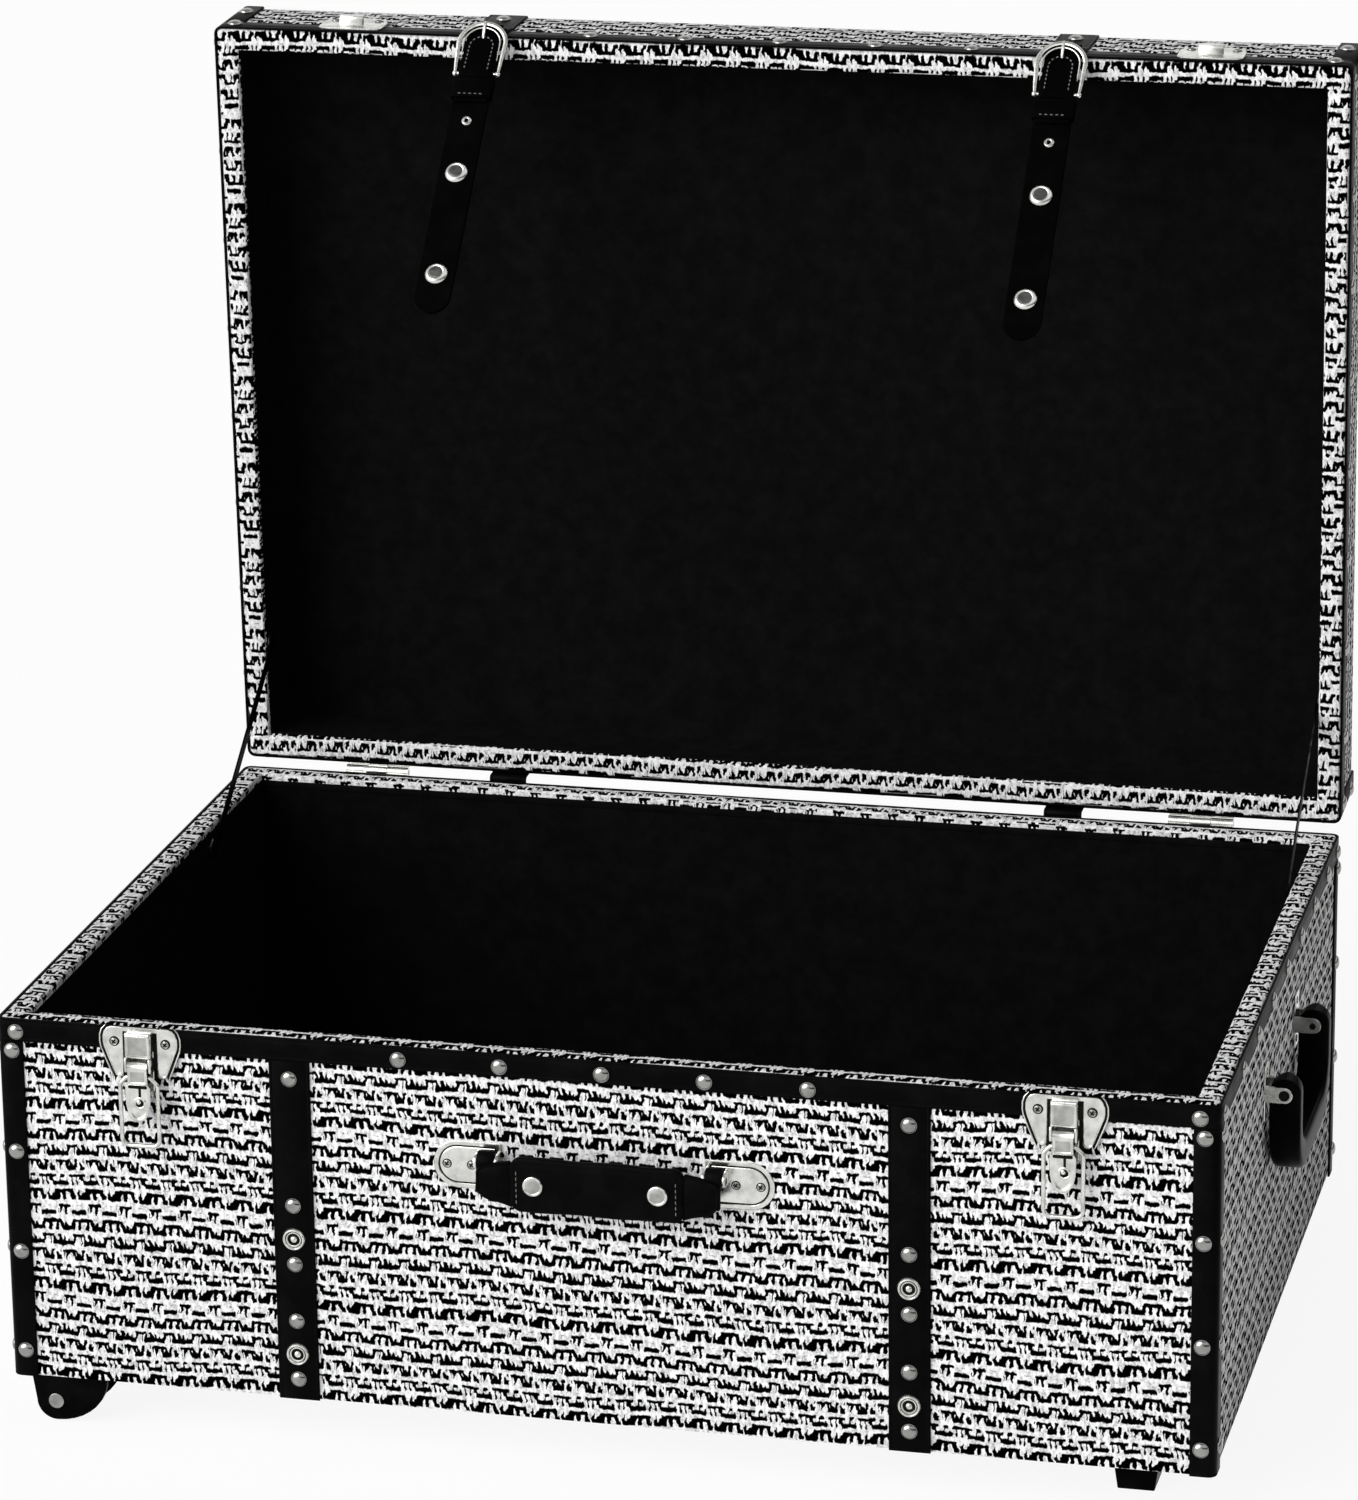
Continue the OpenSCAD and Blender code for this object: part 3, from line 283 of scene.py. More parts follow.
# A strip glued to a wall: point = path + across * a + normal * thickness * rise(a) * rise(end).
# The rise falls to nothing over the rounded edges and dips in a crease beside them; the back is flat.
def gluedStrip(path, normals, across, wide, thickness, closed=False):
    path, normals = np.asarray(path, float), np.asarray(normals, float)
    inset, rise = leatherEdge["inset"], leatherEdge["rise"]
    a = np.concatenate([inset - wide / 2, (wide / 2 - inset)[::-1], [wide / 2, -wide / 2]])
    h = np.concatenate([rise, rise[::-1]]) * thickness
    ends = np.ones(len(path))
    if not closed:
        run = runOf(path)
        into = inset[:4, None]
        ends = np.concatenate([rise[:4], ends[2:], rise[3::-1]])
        path = np.concatenate([path[0] + into * run[0], path[1:-1], (path[-1] - into * run[-1])[::-1]])
        normals = np.concatenate([np.repeat(normals[:1], 4, 0), normals[1:-1], np.repeat(normals[-1:], 4, 0)])
    lift = np.concatenate([ends[:, None] * h, np.full((len(path), 2), -leatherEdge["sunk"])], axis=1)
    points = path[:, None] + a[:, None] * np.asarray(across, float) + lift[..., None] * normals[:, None]
    faces = gridFaces(len(path), len(a), True, True) if closed else tubeFaces(len(path), len(a))
    return points.reshape(-1, 3), faces


# A closed strip round an outline in (x, y), at height z.
def gluedRing(outline, z, wide, thickness):
    normals = insetOutline(outline, -1) - outline
    level = np.zeros((len(outline), 1))
    path, normals = np.hstack([outline, level + z]), np.hstack([normals, level])
    return gluedStrip(path, normals, [0, 0, 1], wide, thickness, True)


# The trunk's two straps along one path of (y, z) points; they face the left of its run.
def strapPair(yz):
    yz = np.asarray(yz, float)
    run = runOf(yz)
    normals = np.column_stack([np.zeros(len(yz)), -run[:, 1], run[:, 0]])
    paths = [np.column_stack([np.full(len(yz), side * strapX), yz]) for side in sides]
    return [gluedStrip(path, normals, [1, 0, 0], strapWidth, trim) for path in paths]


# A loose strap with both faces: half its width may change along the path, for a round end.
def looseStrap(path, side, halfWidths, thickness):
    path, halfWide = np.asarray(path, float), np.asarray(halfWidths, float)
    up = np.cross(side, runOf(path))
    inset = leatherEdge["inset"][1:]
    rise = leatherEdge["rise"][1:] - 0.5
    room = np.maximum(halfWide[:, None] - inset[None], 0)
    a = np.concatenate([-room, room[:, ::-1], room[:, :4], -room[:, :4][:, ::-1]], axis=1)
    h = np.concatenate([rise, rise[::-1], -rise[:4], -rise[:4][::-1]]) * thickness
    points = path[:, None] + a[..., None] * np.asarray(side, float) + h[None, :, None] * up[:, None]
    return points.reshape(-1, 3), tubeFaces(len(path), a.shape[1], 1, -1)


# Stitches: short rounded threads at even steps along a line on a surface.
def stitches(path, normals, length, gap, yarn):
    path, normals = np.asarray(path, float), np.asarray(normals, float)
    run = np.concatenate([[0], np.cumsum(np.linalg.norm(np.diff(path, axis=0), axis=1))])
    shapes = []
    for start in np.arange(gap / 2, run[-1] - length, length + gap):
        at = start + np.array([0, 0.25, 0.5, 0.75, 1]) * length
        spine, lift = [
            np.stack([np.interp(at, run, line[:, k]) for k in range(3)], axis=-1) for line in (path, normals)
        ]
        lift /= np.linalg.norm(lift, axis=1, keepdims=True)
        spine = spine + lift * (np.array([-0.6, 0.5, 0.7, 0.5, -0.6]) * yarn)[:, None]
        side = np.cross(lift[2], spine[4] - spine[0])
        side /= np.linalg.norm(side)
        shapes.append(carried(spine, circleProfile(yarn, 6), side, scale=[0.4, 0.9, 1, 0.9, 0.4]))
    return joined(shapes)


# Pieces

def newObject(name, data):
    thing = bpy.data.objects.new(name, data)
    bpy.context.scene.collection.objects.link(thing)
    return thing


# Makes the object, closes doubles, turns faces outwards, gives it its body and its finish's material, and
# hides the nodes it stands for. A finish is a material with its slot's name, which is not used here.
def makePiece(name, shape, body, finish, *nodes, place=None, cloth=False, sharp=32, outward=True):
    points, faces = np.asarray(shape[0], float).reshape(-1, 3), shape[1]
    material, slot = finish
    place = place or (onLid if body == "lid" else onBody)
    mesh = bpy.data.meshes.new(name)
    mesh.from_pydata((place(points) * mm).tolist(), [], faces)
    mesh.update()
    if cloth:
        wallUv(mesh, points, faces)
    work = bmesh.new()
    work.from_mesh(mesh)
    bmesh.ops.remove_doubles(work, verts=work.verts, dist=1e-6)
    if outward:
        bmesh.ops.recalc_face_normals(work, faces=work.faces)
    work.to_mesh(mesh)
    work.free()
    mesh.shade_smooth()
    mesh.set_sharp_from_angle(angle=math.radians(sharp))
    mesh.materials.append(material)
    piece = newObject(name, mesh)
    if body:
        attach(piece, body)
    if nodes:
        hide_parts(*nodes)
    return piece


# Cloth laid on a box: each face takes the two axes that lie in it, so threads stay level on every wall.
def wallUv(mesh, drawn, faces):
    layer = mesh.uv_layers.new(name="cloth")
    uv = []
    for face in faces:
        corners = drawn[face]
        normal = np.cross(corners[2] - corners[0], corners[1] - corners[-1])
        axis = int(np.argmax(np.abs(normal)))
        uv.append(corners[:, [(1, 2), (0, 2), (0, 1)][axis]])
    layer.data.foreach_set("uv", (np.concatenate(uv) * mm).astype(np.float32).ravel())


# A node's own solid, merged and with its edges eased by a bevel, under a new finish.
def easedNode(name, node, body, finish, ease):
    source = frame["nodes"][node].data
    points = np.empty(len(source.vertices) * 3)
    source.vertices.foreach_get("co", points)
    shape = points.reshape(-1, 3) / mm, [list(p.vertices) for p in source.polygons]
    piece = makePiece(name, shape, body, finish, node, place=inFrame, outward=False)
    work = bmesh.new()
    work.from_mesh(piece.data)
    bmesh.ops.remove_doubles(work, verts=work.verts, dist=2e-5)
    bmesh.ops.dissolve_limit(work, angle_limit=math.radians(1), verts=work.verts, edges=work.edges)
    work.to_mesh(piece.data)
    work.free()
    piece.data.shade_smooth()
    piece.data.set_sharp_from_angle(angle=math.radians(30))
    bevel = piece.modifiers.new("easedEdges", "BEVEL")
    bevel.width = ease * mm
    bevel.segments = 2
    bevel.limit_method = "ANGLE"
    bevel.angle_limit = math.radians(35)
    bevel.harden_normals = True


# Finishes

# An sRGB hex colour as linear red, green, blue and alpha.
def linear(code):
    parts = [int(code[i:i + 2], 16) / 255 for i in (0, 2, 4)]
    return tuple(p / 12.92 if p <= 0.04045 else ((p + 0.055) / 1.055) ** 2.4 for p in parts) + (1.0,)


# Adds a shader node and gives one of its outputs. Values fill its inputs in order, and words with a capital
# name an input; each is a number or a link from another node's output. Other words are settings.
def addNode(tree, kind, *values, out=0, **settings):
    node = tree.nodes.new("ShaderNode" + kind)
    named = {key: settings.pop(key) for key in list(settings) if key[0].isupper()}
    for key, value in settings.items():
        setattr(node, key, value)
    chosen = list(zip(node.inputs, values))
    chosen += [(node.inputs[key.replace("_", " ")], value) for key, value in named.items()]
    for socket, value in chosen:
        if isinstance(value, bpy.types.NodeSocket):
            tree.links.new(value, socket)
        else:
            socket.default_value = value
    return node.outputs[out] if node.outputs else node


def sums(tree, operation, *values):
    return addNode(tree, "Math", *values, operation=operation)


def vectorSums(tree, operation, *values, **settings):
    return addNode(tree, "VectorMath", *values, operation=operation, **settings)


def noise(tree, place, scale, detail, rough=0.5, out=0):
    return addNode(tree, "TexNoise", Vector=place, Scale=scale, Detail=detail, Roughness=rough, out=out)


# A value between low and high, spread evenly between start and end.
def spread(tree, value, low, high, start=0.0, end=1.0):
    return addNode(tree, "MapRange", value, low, high, start, end)


# Two colours mixed by a factor; each is a hex colour or a link.
def mixed(tree, factor, *colours):
    node = addNode(tree, "Mix", data_type="RGBA", Factor=factor).node
    for socket, colour in zip(node.inputs[6:8], colours):
        if isinstance(colour, str):
            socket.default_value = linear(colour)
        else:
            tree.links.new(colour, socket)
    return node.outputs[2]


# A new material, and its tree with nothing in it yet.
def newTree(name):
    material = bpy.data.materials.new(name)
    material.use_nodes = True
    material.node_tree.nodes.clear()
    return material, material.node_tree


# Closes a tree with its surface shader: its colour, its bump of (strength, metres, height) and its inputs.
def addSurface(tree, colour, bump, **inputs):
    strength, distance, level = bump
    normal = addNode(tree, "Bump", Strength=strength, Distance=distance, Height=level)
    shader = addNode(tree, "BsdfPrincipled", Base_Color=colour, Normal=normal, **inputs)
    addNode(tree, "OutputMaterial", shader)


# Tweed: boucle cloth of thick white yarn, with a black yarn that comes up in rows of broken meanders.
# The draft has six rows, the top one first, each on an upper, middle and lower line of 24 threads:
# # black on top, + black a little hidden, o black that shows through, . white.
tweedSizes = {
    "rowPitch": 10.06,
    "period": 19.3,
    "lines": ((7.6, 2.5), (5.2, 2.5), (2.8, 3.2)),    # each line's height in its row, and its reach
    "shifts": ((5.0, 0.009, 1.0), (1.6, 0.22, 2.0, 0.65)),    # reach and noise of the drift and the wobble
    "fray": 0.55,
    "shown": {"#": 1.0, "+": 0.84, "o": 0.5, ".": 0.0},
    "colours": ("f8f8f8", "a6a6a6", "010101"),
    "draft": (
        ("++++++++++.....oooo.....", ".##..##................o", "oo...##...############.o"),
        ("##o........#############", ".###.##...###...##....##", "..###########..+##...###"),
        ("+..o......++++++++++..++", "##.##..o...+#...o..##..#", "############....#.######"),
        (".++++++++++++...+++....+", "..o.##o..##.##o.##..##..", "..o.+.....########..####"),
        ("o..+##+...++++++++++++++", "...o....o...o...o..##o..", "##########..#+..#+...###"),
        ("#############....+....##", "##o.###...###..o##..+###", "##..###....####.########"),
    ),
}


def tweedFinish():
    t = tweedSizes
    material, tree = newTree("tweedCloth")
    inMm = vectorSums(tree, "MULTIPLY", addNode(tree, "UVMap", uv_map="cloth"), (1000, 1000, 1000))
    # The whole cloth drifts slowly, and each yarn wobbles
    spot = inMm
    for reach, *kind in t["shifts"]:
        shift = vectorSums(tree, "SUBTRACT", noise(tree, inMm, *kind, out="Color"), (0.5, 0.5, 0.5))
        spot = vectorSums(tree, "ADD", spot, vectorSums(tree, "SCALE", shift, Scale=reach * 2))
    u, v = addNode(tree, "SeparateXYZ", spot).node.outputs[:2]
    row = sums(tree, "FLOOR", sums(tree, "DIVIDE", v, t["rowPitch"]))
    row = sums(tree, "FLOORED_MODULO", row, len(t["draft"]))
    inRow = sums(tree, "FLOORED_MODULO", v, t["rowPitch"])
    along = sums(tree, "FRACT", sums(tree, "DIVIDE", u, t["period"]))
    # A ramp holds one row of the draft, its three lines as red, green and blue
    chosen = None
    for index, drawn in enumerate(reversed(t["draft"])):
        ramp = addNode(tree, "ValToRGB", along)
        elements, threads = ramp.node.color_ramp.elements, len(drawn[0])
        for k in range(threads):
            here = (k + 0.5) / threads
            point = elements[k] if k < 2 else elements.new(here)
            point.position = here
            point.color = [t["shown"][line[k]] for line in drawn] + [1.0]
        chosen = mixed(tree, sums(tree, "COMPARE", row, index, 0.5), chosen, ramp) if chosen else ramp
    # How black it is: the sum over the lines of what the draft shows there times 1 - distance / reach
    total = None
    for shown, (middle, reach) in zip(addNode(tree, "SeparateColor", chosen).node.outputs, t["lines"]):
        near = sums(tree, "ABSOLUTE", sums(tree, "SUBTRACT", inRow, middle))
        near = sums(tree, "MULTIPLY", spread(tree, near, 0.0, reach, 1.0, 0.0), shown)
        total = sums(tree, "ADD", total, near) if total else near
    total = sums(tree, "MULTIPLY_ADD", noise(tree, inMm, 0.55, 3.0, 0.7), t["fray"], total)
    edge = 0.5 + t["fray"] / 2
    ink = spread(tree, total, edge - 0.1, edge + 0.08)
    # White yarns with grey painted in the upright hollows between them as their shade, and loops that stand
    # up unevenly
    tall = vectorSums(tree, "MULTIPLY", inMm, (0.36, 0.17, 1.0))
    hollow = spread(tree, noise(tree, tall, 1.0, 1.0), 0.36, 0.6, 1.0, 0.0)
    loops = spread(tree, noise(tree, inMm, 0.6, 4.0, 0.75), 0.35, 0.6)
    shade = sums(tree, "MULTIPLY", hollow, loops)
    white, grey, black = t["colours"]
    colour = mixed(tree, ink, mixed(tree, shade, white, grey), black)
    relief = sums(tree, "MULTIPLY_ADD", ink, -0.8, sums(tree, "MULTIPLY_ADD", shade, -0.5, loops))
    addSurface(tree, colour, (0.4, 0.0006, relief), Roughness=1.0, Specular_IOR_Level=0.0)
    return material, "tweed"


# Leatherette: calendered vinyl, satin black, with a fine pebbled grain and faint rubbed patches.
# grain is the size of a pebble in millimetres.
def leatherFinish(name, colour, worn, rough, grain=1.1, shine=0.02):
    material, tree = newTree(name)
    place = addNode(tree, "TexCoord", out="Object")
    pebble = addNode(tree, "TexVoronoi", place, feature="SMOOTH_F1", Scale=1000 / grain, Smoothness=0.6)
    patch = noise(tree, place, 45.0, 5.0, 0.65)
    colours = mixed(tree, spread(tree, patch, 0.45, 0.75), colour, worn)
    rough = spread(tree, patch, 0.3, 0.7, rough - 0.06, rough + 0.1)
    addSurface(tree, colours, (0.25, 0.0002, pebble), Roughness=rough, Specular_IOR_Level=shine)
    return material, "leather"


# Nickel plate on pressed steel: bright, a little yellowed grey, with polishing lines and dull spots.
def nickelFinish(name, colour, dull, rough, lineScale):
    material, tree = newTree(name)
    place = addNode(tree, "TexCoord", out="Object")
    lines = noise(tree, addNode(tree, "Mapping", place, Scale=(0.25, 1.0, 1.0)), lineScale, 4.0, 0.6)
    colours = mixed(tree, spread(tree, noise(tree, place, 120.0, 3.0), 0.4, 0.75), colour, dull)
    rough = spread(tree, lines, 0.3, 0.7, rough - 0.05, rough + 0.07)
    addSurface(tree, colours, (0.06, 0.0002, lines), Roughness=rough, Metallic=1.0)
    return material, "nickel"


# Lining: black brushed cotton glued to the boards, matt, with a fine plain weave and a little lint.
def liningFinish():
    material, tree = newTree("blackLining")
    place = addNode(tree, "TexCoord", out="Object")
    lint = spread(tree, noise(tree, place, 70.0, 6.0, 0.7), 0.4, 0.75)
    threads = noise(tree, place, 1400.0, 1.0)
    colours = mixed(tree, lint, "0a0a0a", "121212")
    addSurface(tree, colours, (0.3, 0.0002, threads), Roughness=0.95, Specular_IOR_Level=0.02)
    return material, "lining"


# Injection-moulded black plastic or rubber: fine spark-eroded texture, slightly greyed on its high spots.
def mouldedFinish(name, colour, rough, strength, slot):
    material, tree = newTree(name)
    place = addNode(tree, "TexCoord", out="Object")
    grit = noise(tree, place, 900.0, 3.0, 0.6)
    cloud = spread(tree, noise(tree, place, 60.0, 3.0), 0.4, 0.8)
    colours = mixed(tree, cloud, colour, "0e0e0e")
    addSurface(tree, colours, (strength, 0.00015, grit), Roughness=rough, Specular_IOR_Level=0.012)
    return material, slot


# Poplar plywood, raw: warm grain along x with fine pores.
def boardFinish():
    material, tree = newTree("rawPlywood")
    along = addNode(tree, "Mapping", addNode(tree, "TexCoord", out="Object"), Scale=(1.0, 9.0, 9.0))
    grain = noise(tree, along, 18.0, 6.0, 0.65)
    addSurface(tree, mixed(tree, grain, "a5815a", "d2b48a"), (0.2, 0.0003, grain), Roughness=0.7)
    return material


tweed = tweedFinish()
leather = leatherFinish("blackLeatherette", "050505", "0c0c0c", 0.36)
gripLeather = leatherFinish("gripLeather", "050505", "0c0c0c", 0.4, 1.4)
# A darker, less shiny copy of the leatherette for the hanging tails: painted shade.
tailLeather = leatherFinish("tailLeather", "020202", "060606", 0.5, 1.1, 0.01)
thread = leatherFinish("waxedThread", "747474", "8a8a8a", 0.6, 0.5)
nickel = nickelFinish("polishedNickel", "9e9e9b", "7e7e7c", 0.16, 900.0)
nickelPlate = nickelFinish("pressedNickelPlate", "e2e2de", "b8b8b4", 0.24, 500.0)
# A greyer copy of the nickel for faces inside bright rims, for the rivet faces and for the inner ears:
# painted shade.
nickelFace = nickelFinish("handledNickel", "b9b9b5", "8e8e8b", 0.3, 500.0)
# A darker copy of the nickel for the middles of the strap tails' caps: painted shade.
dullNickel = nickelFinish("dullNickel", "787876", "4c4c4a", 0.22, 500.0)
# A nearly black copy of the nickel, laid in recesses, gaps and grooves and on the side pins: painted shade.
shadeNickel = nickelFinish("tarnishedNickel", "161615", "262625", 0.5, 500.0)
lining = liningFinish()
plastic = mouldedFinish("mouldedPlastic", "050505", 0.3, 0.12, "moulding")
rubber = mouldedFinish("wheelRubber", "141414", 0.6, 0.3, "rubber")
plywood = boardFinish()
print("finishes made")


# Boards, cloth and lining

for name, node in frame["nodes"].items():
    if name.endswith("_panel"):
        node.data.materials.clear()
        node.data.materials.append(plywood)

covers = {"turnDown": 6.0, "uneven": 0.2, "liningDepths": (228.0, 53.0), "sheet": 1.4, "steps": (64, 94)}


# The trunk's outline at an inset: a rectangle with round corners, its sides cut into even steps.
def trunkOutline(inset):
    r = max(trunk["cornerRadius"] - inset, 0.6)
    corners = roundRect(inset - half, inset, half - inset, width - inset, r, 5).reshape(4, 5, 2)
    parts = []
    for k, corner in enumerate(corners):
        steps = covers["steps"][k % 2]
        parts += [corner, np.linspace(corner[-1], corners[(k + 1) % 4][0], steps + 2)[1:-1]]
    return np.concatenate(parts)


# Rings of the outline at (inset, depth from the rim), closed at both ends. Near the rim each point
# lies deeper by uneven * (sin + sin) of its place, as a cloth edge turned over a board does.
def ringStack(levels, rimZ, way, uneven=0.0):
    rings = []
    for inset, depth in levels:
        x, y = trunkOutline(inset).T
        wave = 1 + 0.5 * np.sin(x / 9.7 + y / 7.9) + 0.5 * np.sin(x / 23.0 - y / 17.0)
        rings.append(np.column_stack([x, y, rimZ + way * (depth + uneven * wave * math.exp(-depth / 2))]))
    return np.concatenate(rings), tubeFaces(len(rings), len(rings[0]))


def coverLevels(depth):
    down = covers["turnDown"]
    return [
        (2.4, depth), (0.8, depth - 0.5), (0, depth - 2.2), (0, 2.6), (0.3, 1.2), (1.1, 0.35), (2.8, 0),
        (7.5, -0.1), (12.2, 0), (13.9, 0.35), (14.7, 1.2), (15, 2.6), (15, down), (13.6, down),
        (13.6, 1.7), (1.6, 1.7), (1.6, depth - 1.6),
    ]


def liningLevels(depth):
    sheet = covers["sheet"]
    return [
        (17, depth), (15.5, depth - 0.4), (15, depth - 1.8), (15, 9.4), (15.5, 8.9), (15.75, 7),
        (15.6, 5), (15.2, 4.4), (wall - sheet, 4.3), (wall - sheet, depth + sheet),
    ]


bodyCover = ringStack(coverLevels(height), height, -1, covers["uneven"])
lidCover = ringStack(coverLevels(lidHeight), 0, 1, covers["uneven"])
makePiece("tweedBody", bodyCover, "base", tweed, "base_cover", cloth=True)
makePiece("tweedLid", lidCover, "lid", tweed, "lid_cover", cloth=True)
bodyLining, lidLining = [liningLevels(depth) for depth in covers["liningDepths"]]
makePiece("liningBody", ringStack(bodyLining, height, -1), "base", lining, "base_lining")
makePiece("liningLid", ringStack(lidLining, 0, 1), "lid", lining, "lid_lining")
print("cloth and lining made")


# Leather bands and straps

# One band round each upright corner, between two heights.
def cornerBands(low, high):
    r = trunk["cornerRadius"]
    bend = arc(half - r, r, r, -90, 0, 7)
    flat = np.concatenate([[[half - band, 0], [half - r - 2, 0]], bend, [[half, r + 2], [half, band]]])
    outward = np.concatenate([[[0, -1]] * 2, arc(0, 0, 1, -90, 0, 7), [[1, 0]] * 2])
    level = np.zeros((len(flat), 1))
    shapes = []
    for mirror in ([1, 1], [-1, 1], [1, -1], [-1, -1]):
        place = flat * mirror + [0, width if mirror[1] < 0 else 0]
        path = np.hstack([place, level + (low + high) / 2])
        shapes.append(gluedStrip(path, np.hstack([outward * mirror, level]), [0, 0, 1], high - low, trim))
    return joined(shapes)


straps = {
    "frontPath": [[0, 0], [0, height - band]],
    "backPath": [
        [width + trim, height - 3], [width + trim, height - 19], [width + 1.2, height - 21],
        [width + 0.3, height - 25], [width, height - 27], [width, 0],
    ],
    "lidFront": [[-trim, 4], [-trim, 16], [-1.2, 18], [-0.3, 22], [0, 24]],
    "lidCorner": 2.5,
    "roll": {"y": -4.0, "z": 7.3, "halves": [1.0, 2.0]},
}
lidBack = [[width - y, z] for y, z in straps["lidFront"]][::-1]
lidBack[-1] = [width + trim, 3]
r = straps["lidCorner"]
lidPath = np.concatenate([
    straps["lidFront"], arc(r, lidHeight - r, r, 180, 90, 6),
    arc(width - r, lidHeight - r, r, 90, 0, 6), lidBack,
])
roll = straps["roll"]
rollProfile = circleProfile(1, 14) * roll["halves"]
lidStraps = []
for side, strap in zip(sides, strapPair(lidPath)):
    rollPath = [[side * strapX + a * strapWidth / 2, roll["y"], roll["z"]] for a in (-1, -0.97, 0.97, 1)]
    lidStraps += [strap, carried(rollPath, rollProfile, [0, 1, 0], [0.7, 1, 1, 0.7])]
outline = trunkOutline(0)
for name, shape, body, node in (
    ("rimBandBody", gluedRing(outline, height - band / 2, band, trim), "base", "base_rim_band"),
    ("rimBandLid", gluedRing(outline, band / 2, band, trim), "lid", "lid_rim_band"),
    ("cornerBandsBody", cornerBands(0, height - band), "base", "base_corner_bands"),
    ("cornerBandsLid", cornerBands(band, lidHeight), "lid", "lid_corner_bands"),
    ("strapsFront", joined(strapPair(straps["frontPath"])), "base", "base_front_straps"),
    ("strapsBack", joined(strapPair(straps["backPath"])), "base", "base_back_straps"),
    ("strapsLid", joined(lidStraps), "lid", "lid_straps"),
):
    makePiece(name, shape, body, leather, node)

# Bridges over the hinge line: flat on the body, round the hinge line, flat under the open lid
bridge = {"reach": 14.0, "thickness": 1.2, "turn": 2.4}
away, level = hingeInTrunk[1] - bridge["turn"], hingeInTrunk[2]
bend = arc(hingeInTrunk[1], level, bridge["turn"], 180, 180 - math.degrees(lidAngle), 8)
lean = np.array([math.sin(lidAngle), math.cos(lidAngle)])
bridgePath = np.concatenate([
    np.column_stack([np.full(5, away), np.linspace(level - bridge["reach"], level - 1, 5)]), bend,
    bend[-1] + np.linspace(1, bridge["reach"], 5)[:, None] * lean,
])
count = len(bridgePath)
bridgePaths = [np.column_stack([np.full(count, side * strapX), bridgePath]) for side in sides]
bridgeWide = np.full(count, strapWidth / 2)
bridgeShape = joined([looseStrap(path, [1, 0, 0], bridgeWide, bridge["thickness"]) for path in bridgePaths])
bridges = makePiece("hingeBridges", bridgeShape, None, leather, "hinge_straps")
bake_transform(bridges)

# Lid stays: a flat ribbon between a disc on the body's lining and one on the lid's
stay = {
    "bodyY": 385.0, "drop": 16.0, "lidY": 435.0, "lidZ": 12.0, "halfWidth": 4.0, "x": 363.5, "thickness": 1.0,
}
stayFrom = onBody([0, stay["bodyY"], height - stay["drop"]])
stayTo = onLid([0, stay["lidY"], stay["lidZ"]])
stayLength = np.linalg.norm(stayTo - stayFrom)
stayRun = (stayTo - stayFrom) / stayLength
roundEnd = stay["halfWidth"] * np.cos(np.linspace(0.12, 1.5, 8))
along = np.concatenate([-roundEnd, np.linspace(2, stayLength - 2, 24), stayLength + roundEnd[::-1]])
beyond = np.clip(np.maximum(-along, along - stayLength), 0, stay["halfWidth"])
halfWidths = np.sqrt(stay["halfWidth"]**2 - beyond**2)
stayPath = stayFrom + along[:, None] * stayRun
across = np.array([0, -stayRun[2], stayRun[1]])
ribbon = joined([
    looseStrap(stayPath + [side * stay["x"], 0, 0], across, halfWidths, stay["thickness"]) for side in sides
])
ribbons = makePiece("stayRibbons", ribbon, None, leather, "stays", place=inFrame)
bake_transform(ribbons)
print("leather made")


# Nails, snap rings and screws

studs = {
    "nail": [
        (0, 2.5), (1.4, 2.42), (2.8, 2.12), (3.9, 1.55), (4.5, 0.95), (4.7, 0.5), (5, 0.45), (5, 0), (0, 0),
    ],
    "snap": [
        (3.9, 0), (3.9, 1.3), (4.2, 1.75), (4.75, 1.75), (5.0, 1.2), (5.25, 1.2), (5.5, 1.95), (6.0, 2.45),
        (6.6, 2.3), (7.2, 1.5), (7.5, 0.7), (7.5, 0), (3.9, 0),
    ],
    "post": [(0, 2.3), (1.3, 2.15), (2.0, 1.6), (2.3, 0.8), (2.3, 0), (0, 0)],
    "well": [(0, 0.25), (4.0, 0.25), (4.0, 0), (0, 0)],
    "groove": [(4.85, 0), (4.85, 1.3), (5.4, 1.3), (5.4, 0), (4.85, 0)],
    "nailDrop": 8.5, "nailPitch": 64.0, "cornerLow": 18.0, "cornerPitch": 67.0, "sidePitch": 62.0,
    "sideFirst": 24.0, "sideLast": 40.0, "endIn": 11.0, "cornerIn": 8.0, "snapLow": 31.0, "snapPitch": 77.0,
    "strapTop": 26.5, "snapAbove": 22.0, "snapBelow": 17.0, "lidStrap": 47.0, "lidCorner": 18.0,
    "topFirst": 40.0,
}
drop, pitch = studs["nailDrop"], studs["nailPitch"]
nailShape = lathe(studs["nail"], 20)
rowX = [trunk["middleShift"] + i * pitch for i in range(-2, 3)]
rowX += [side * (half - studs["endIn"]) for side in sides]
sideY = np.arange(studs["sideFirst"] + studs["sidePitch"], width - studs["sideLast"], studs["sidePitch"])
sideY = [*sideY, studs["endIn"], width - studs["endIn"]]
edgeX = [side * (half - studs["cornerIn"]) for side in sides]
edgeY = [studs["cornerIn"], width - studs["cornerIn"]]
snapZ = [studs["snapLow"], studs["snapLow"] + studs["snapPitch"]]
strapZ = [height - studs["strapTop"]]
strapZ += [z + dz for z in snapZ[::-1] for dz in (studs["snapAbove"], -studs["snapBelow"])]
cornerZ = [studs["cornerLow"] + i * studs["cornerPitch"] for i in range(4)]


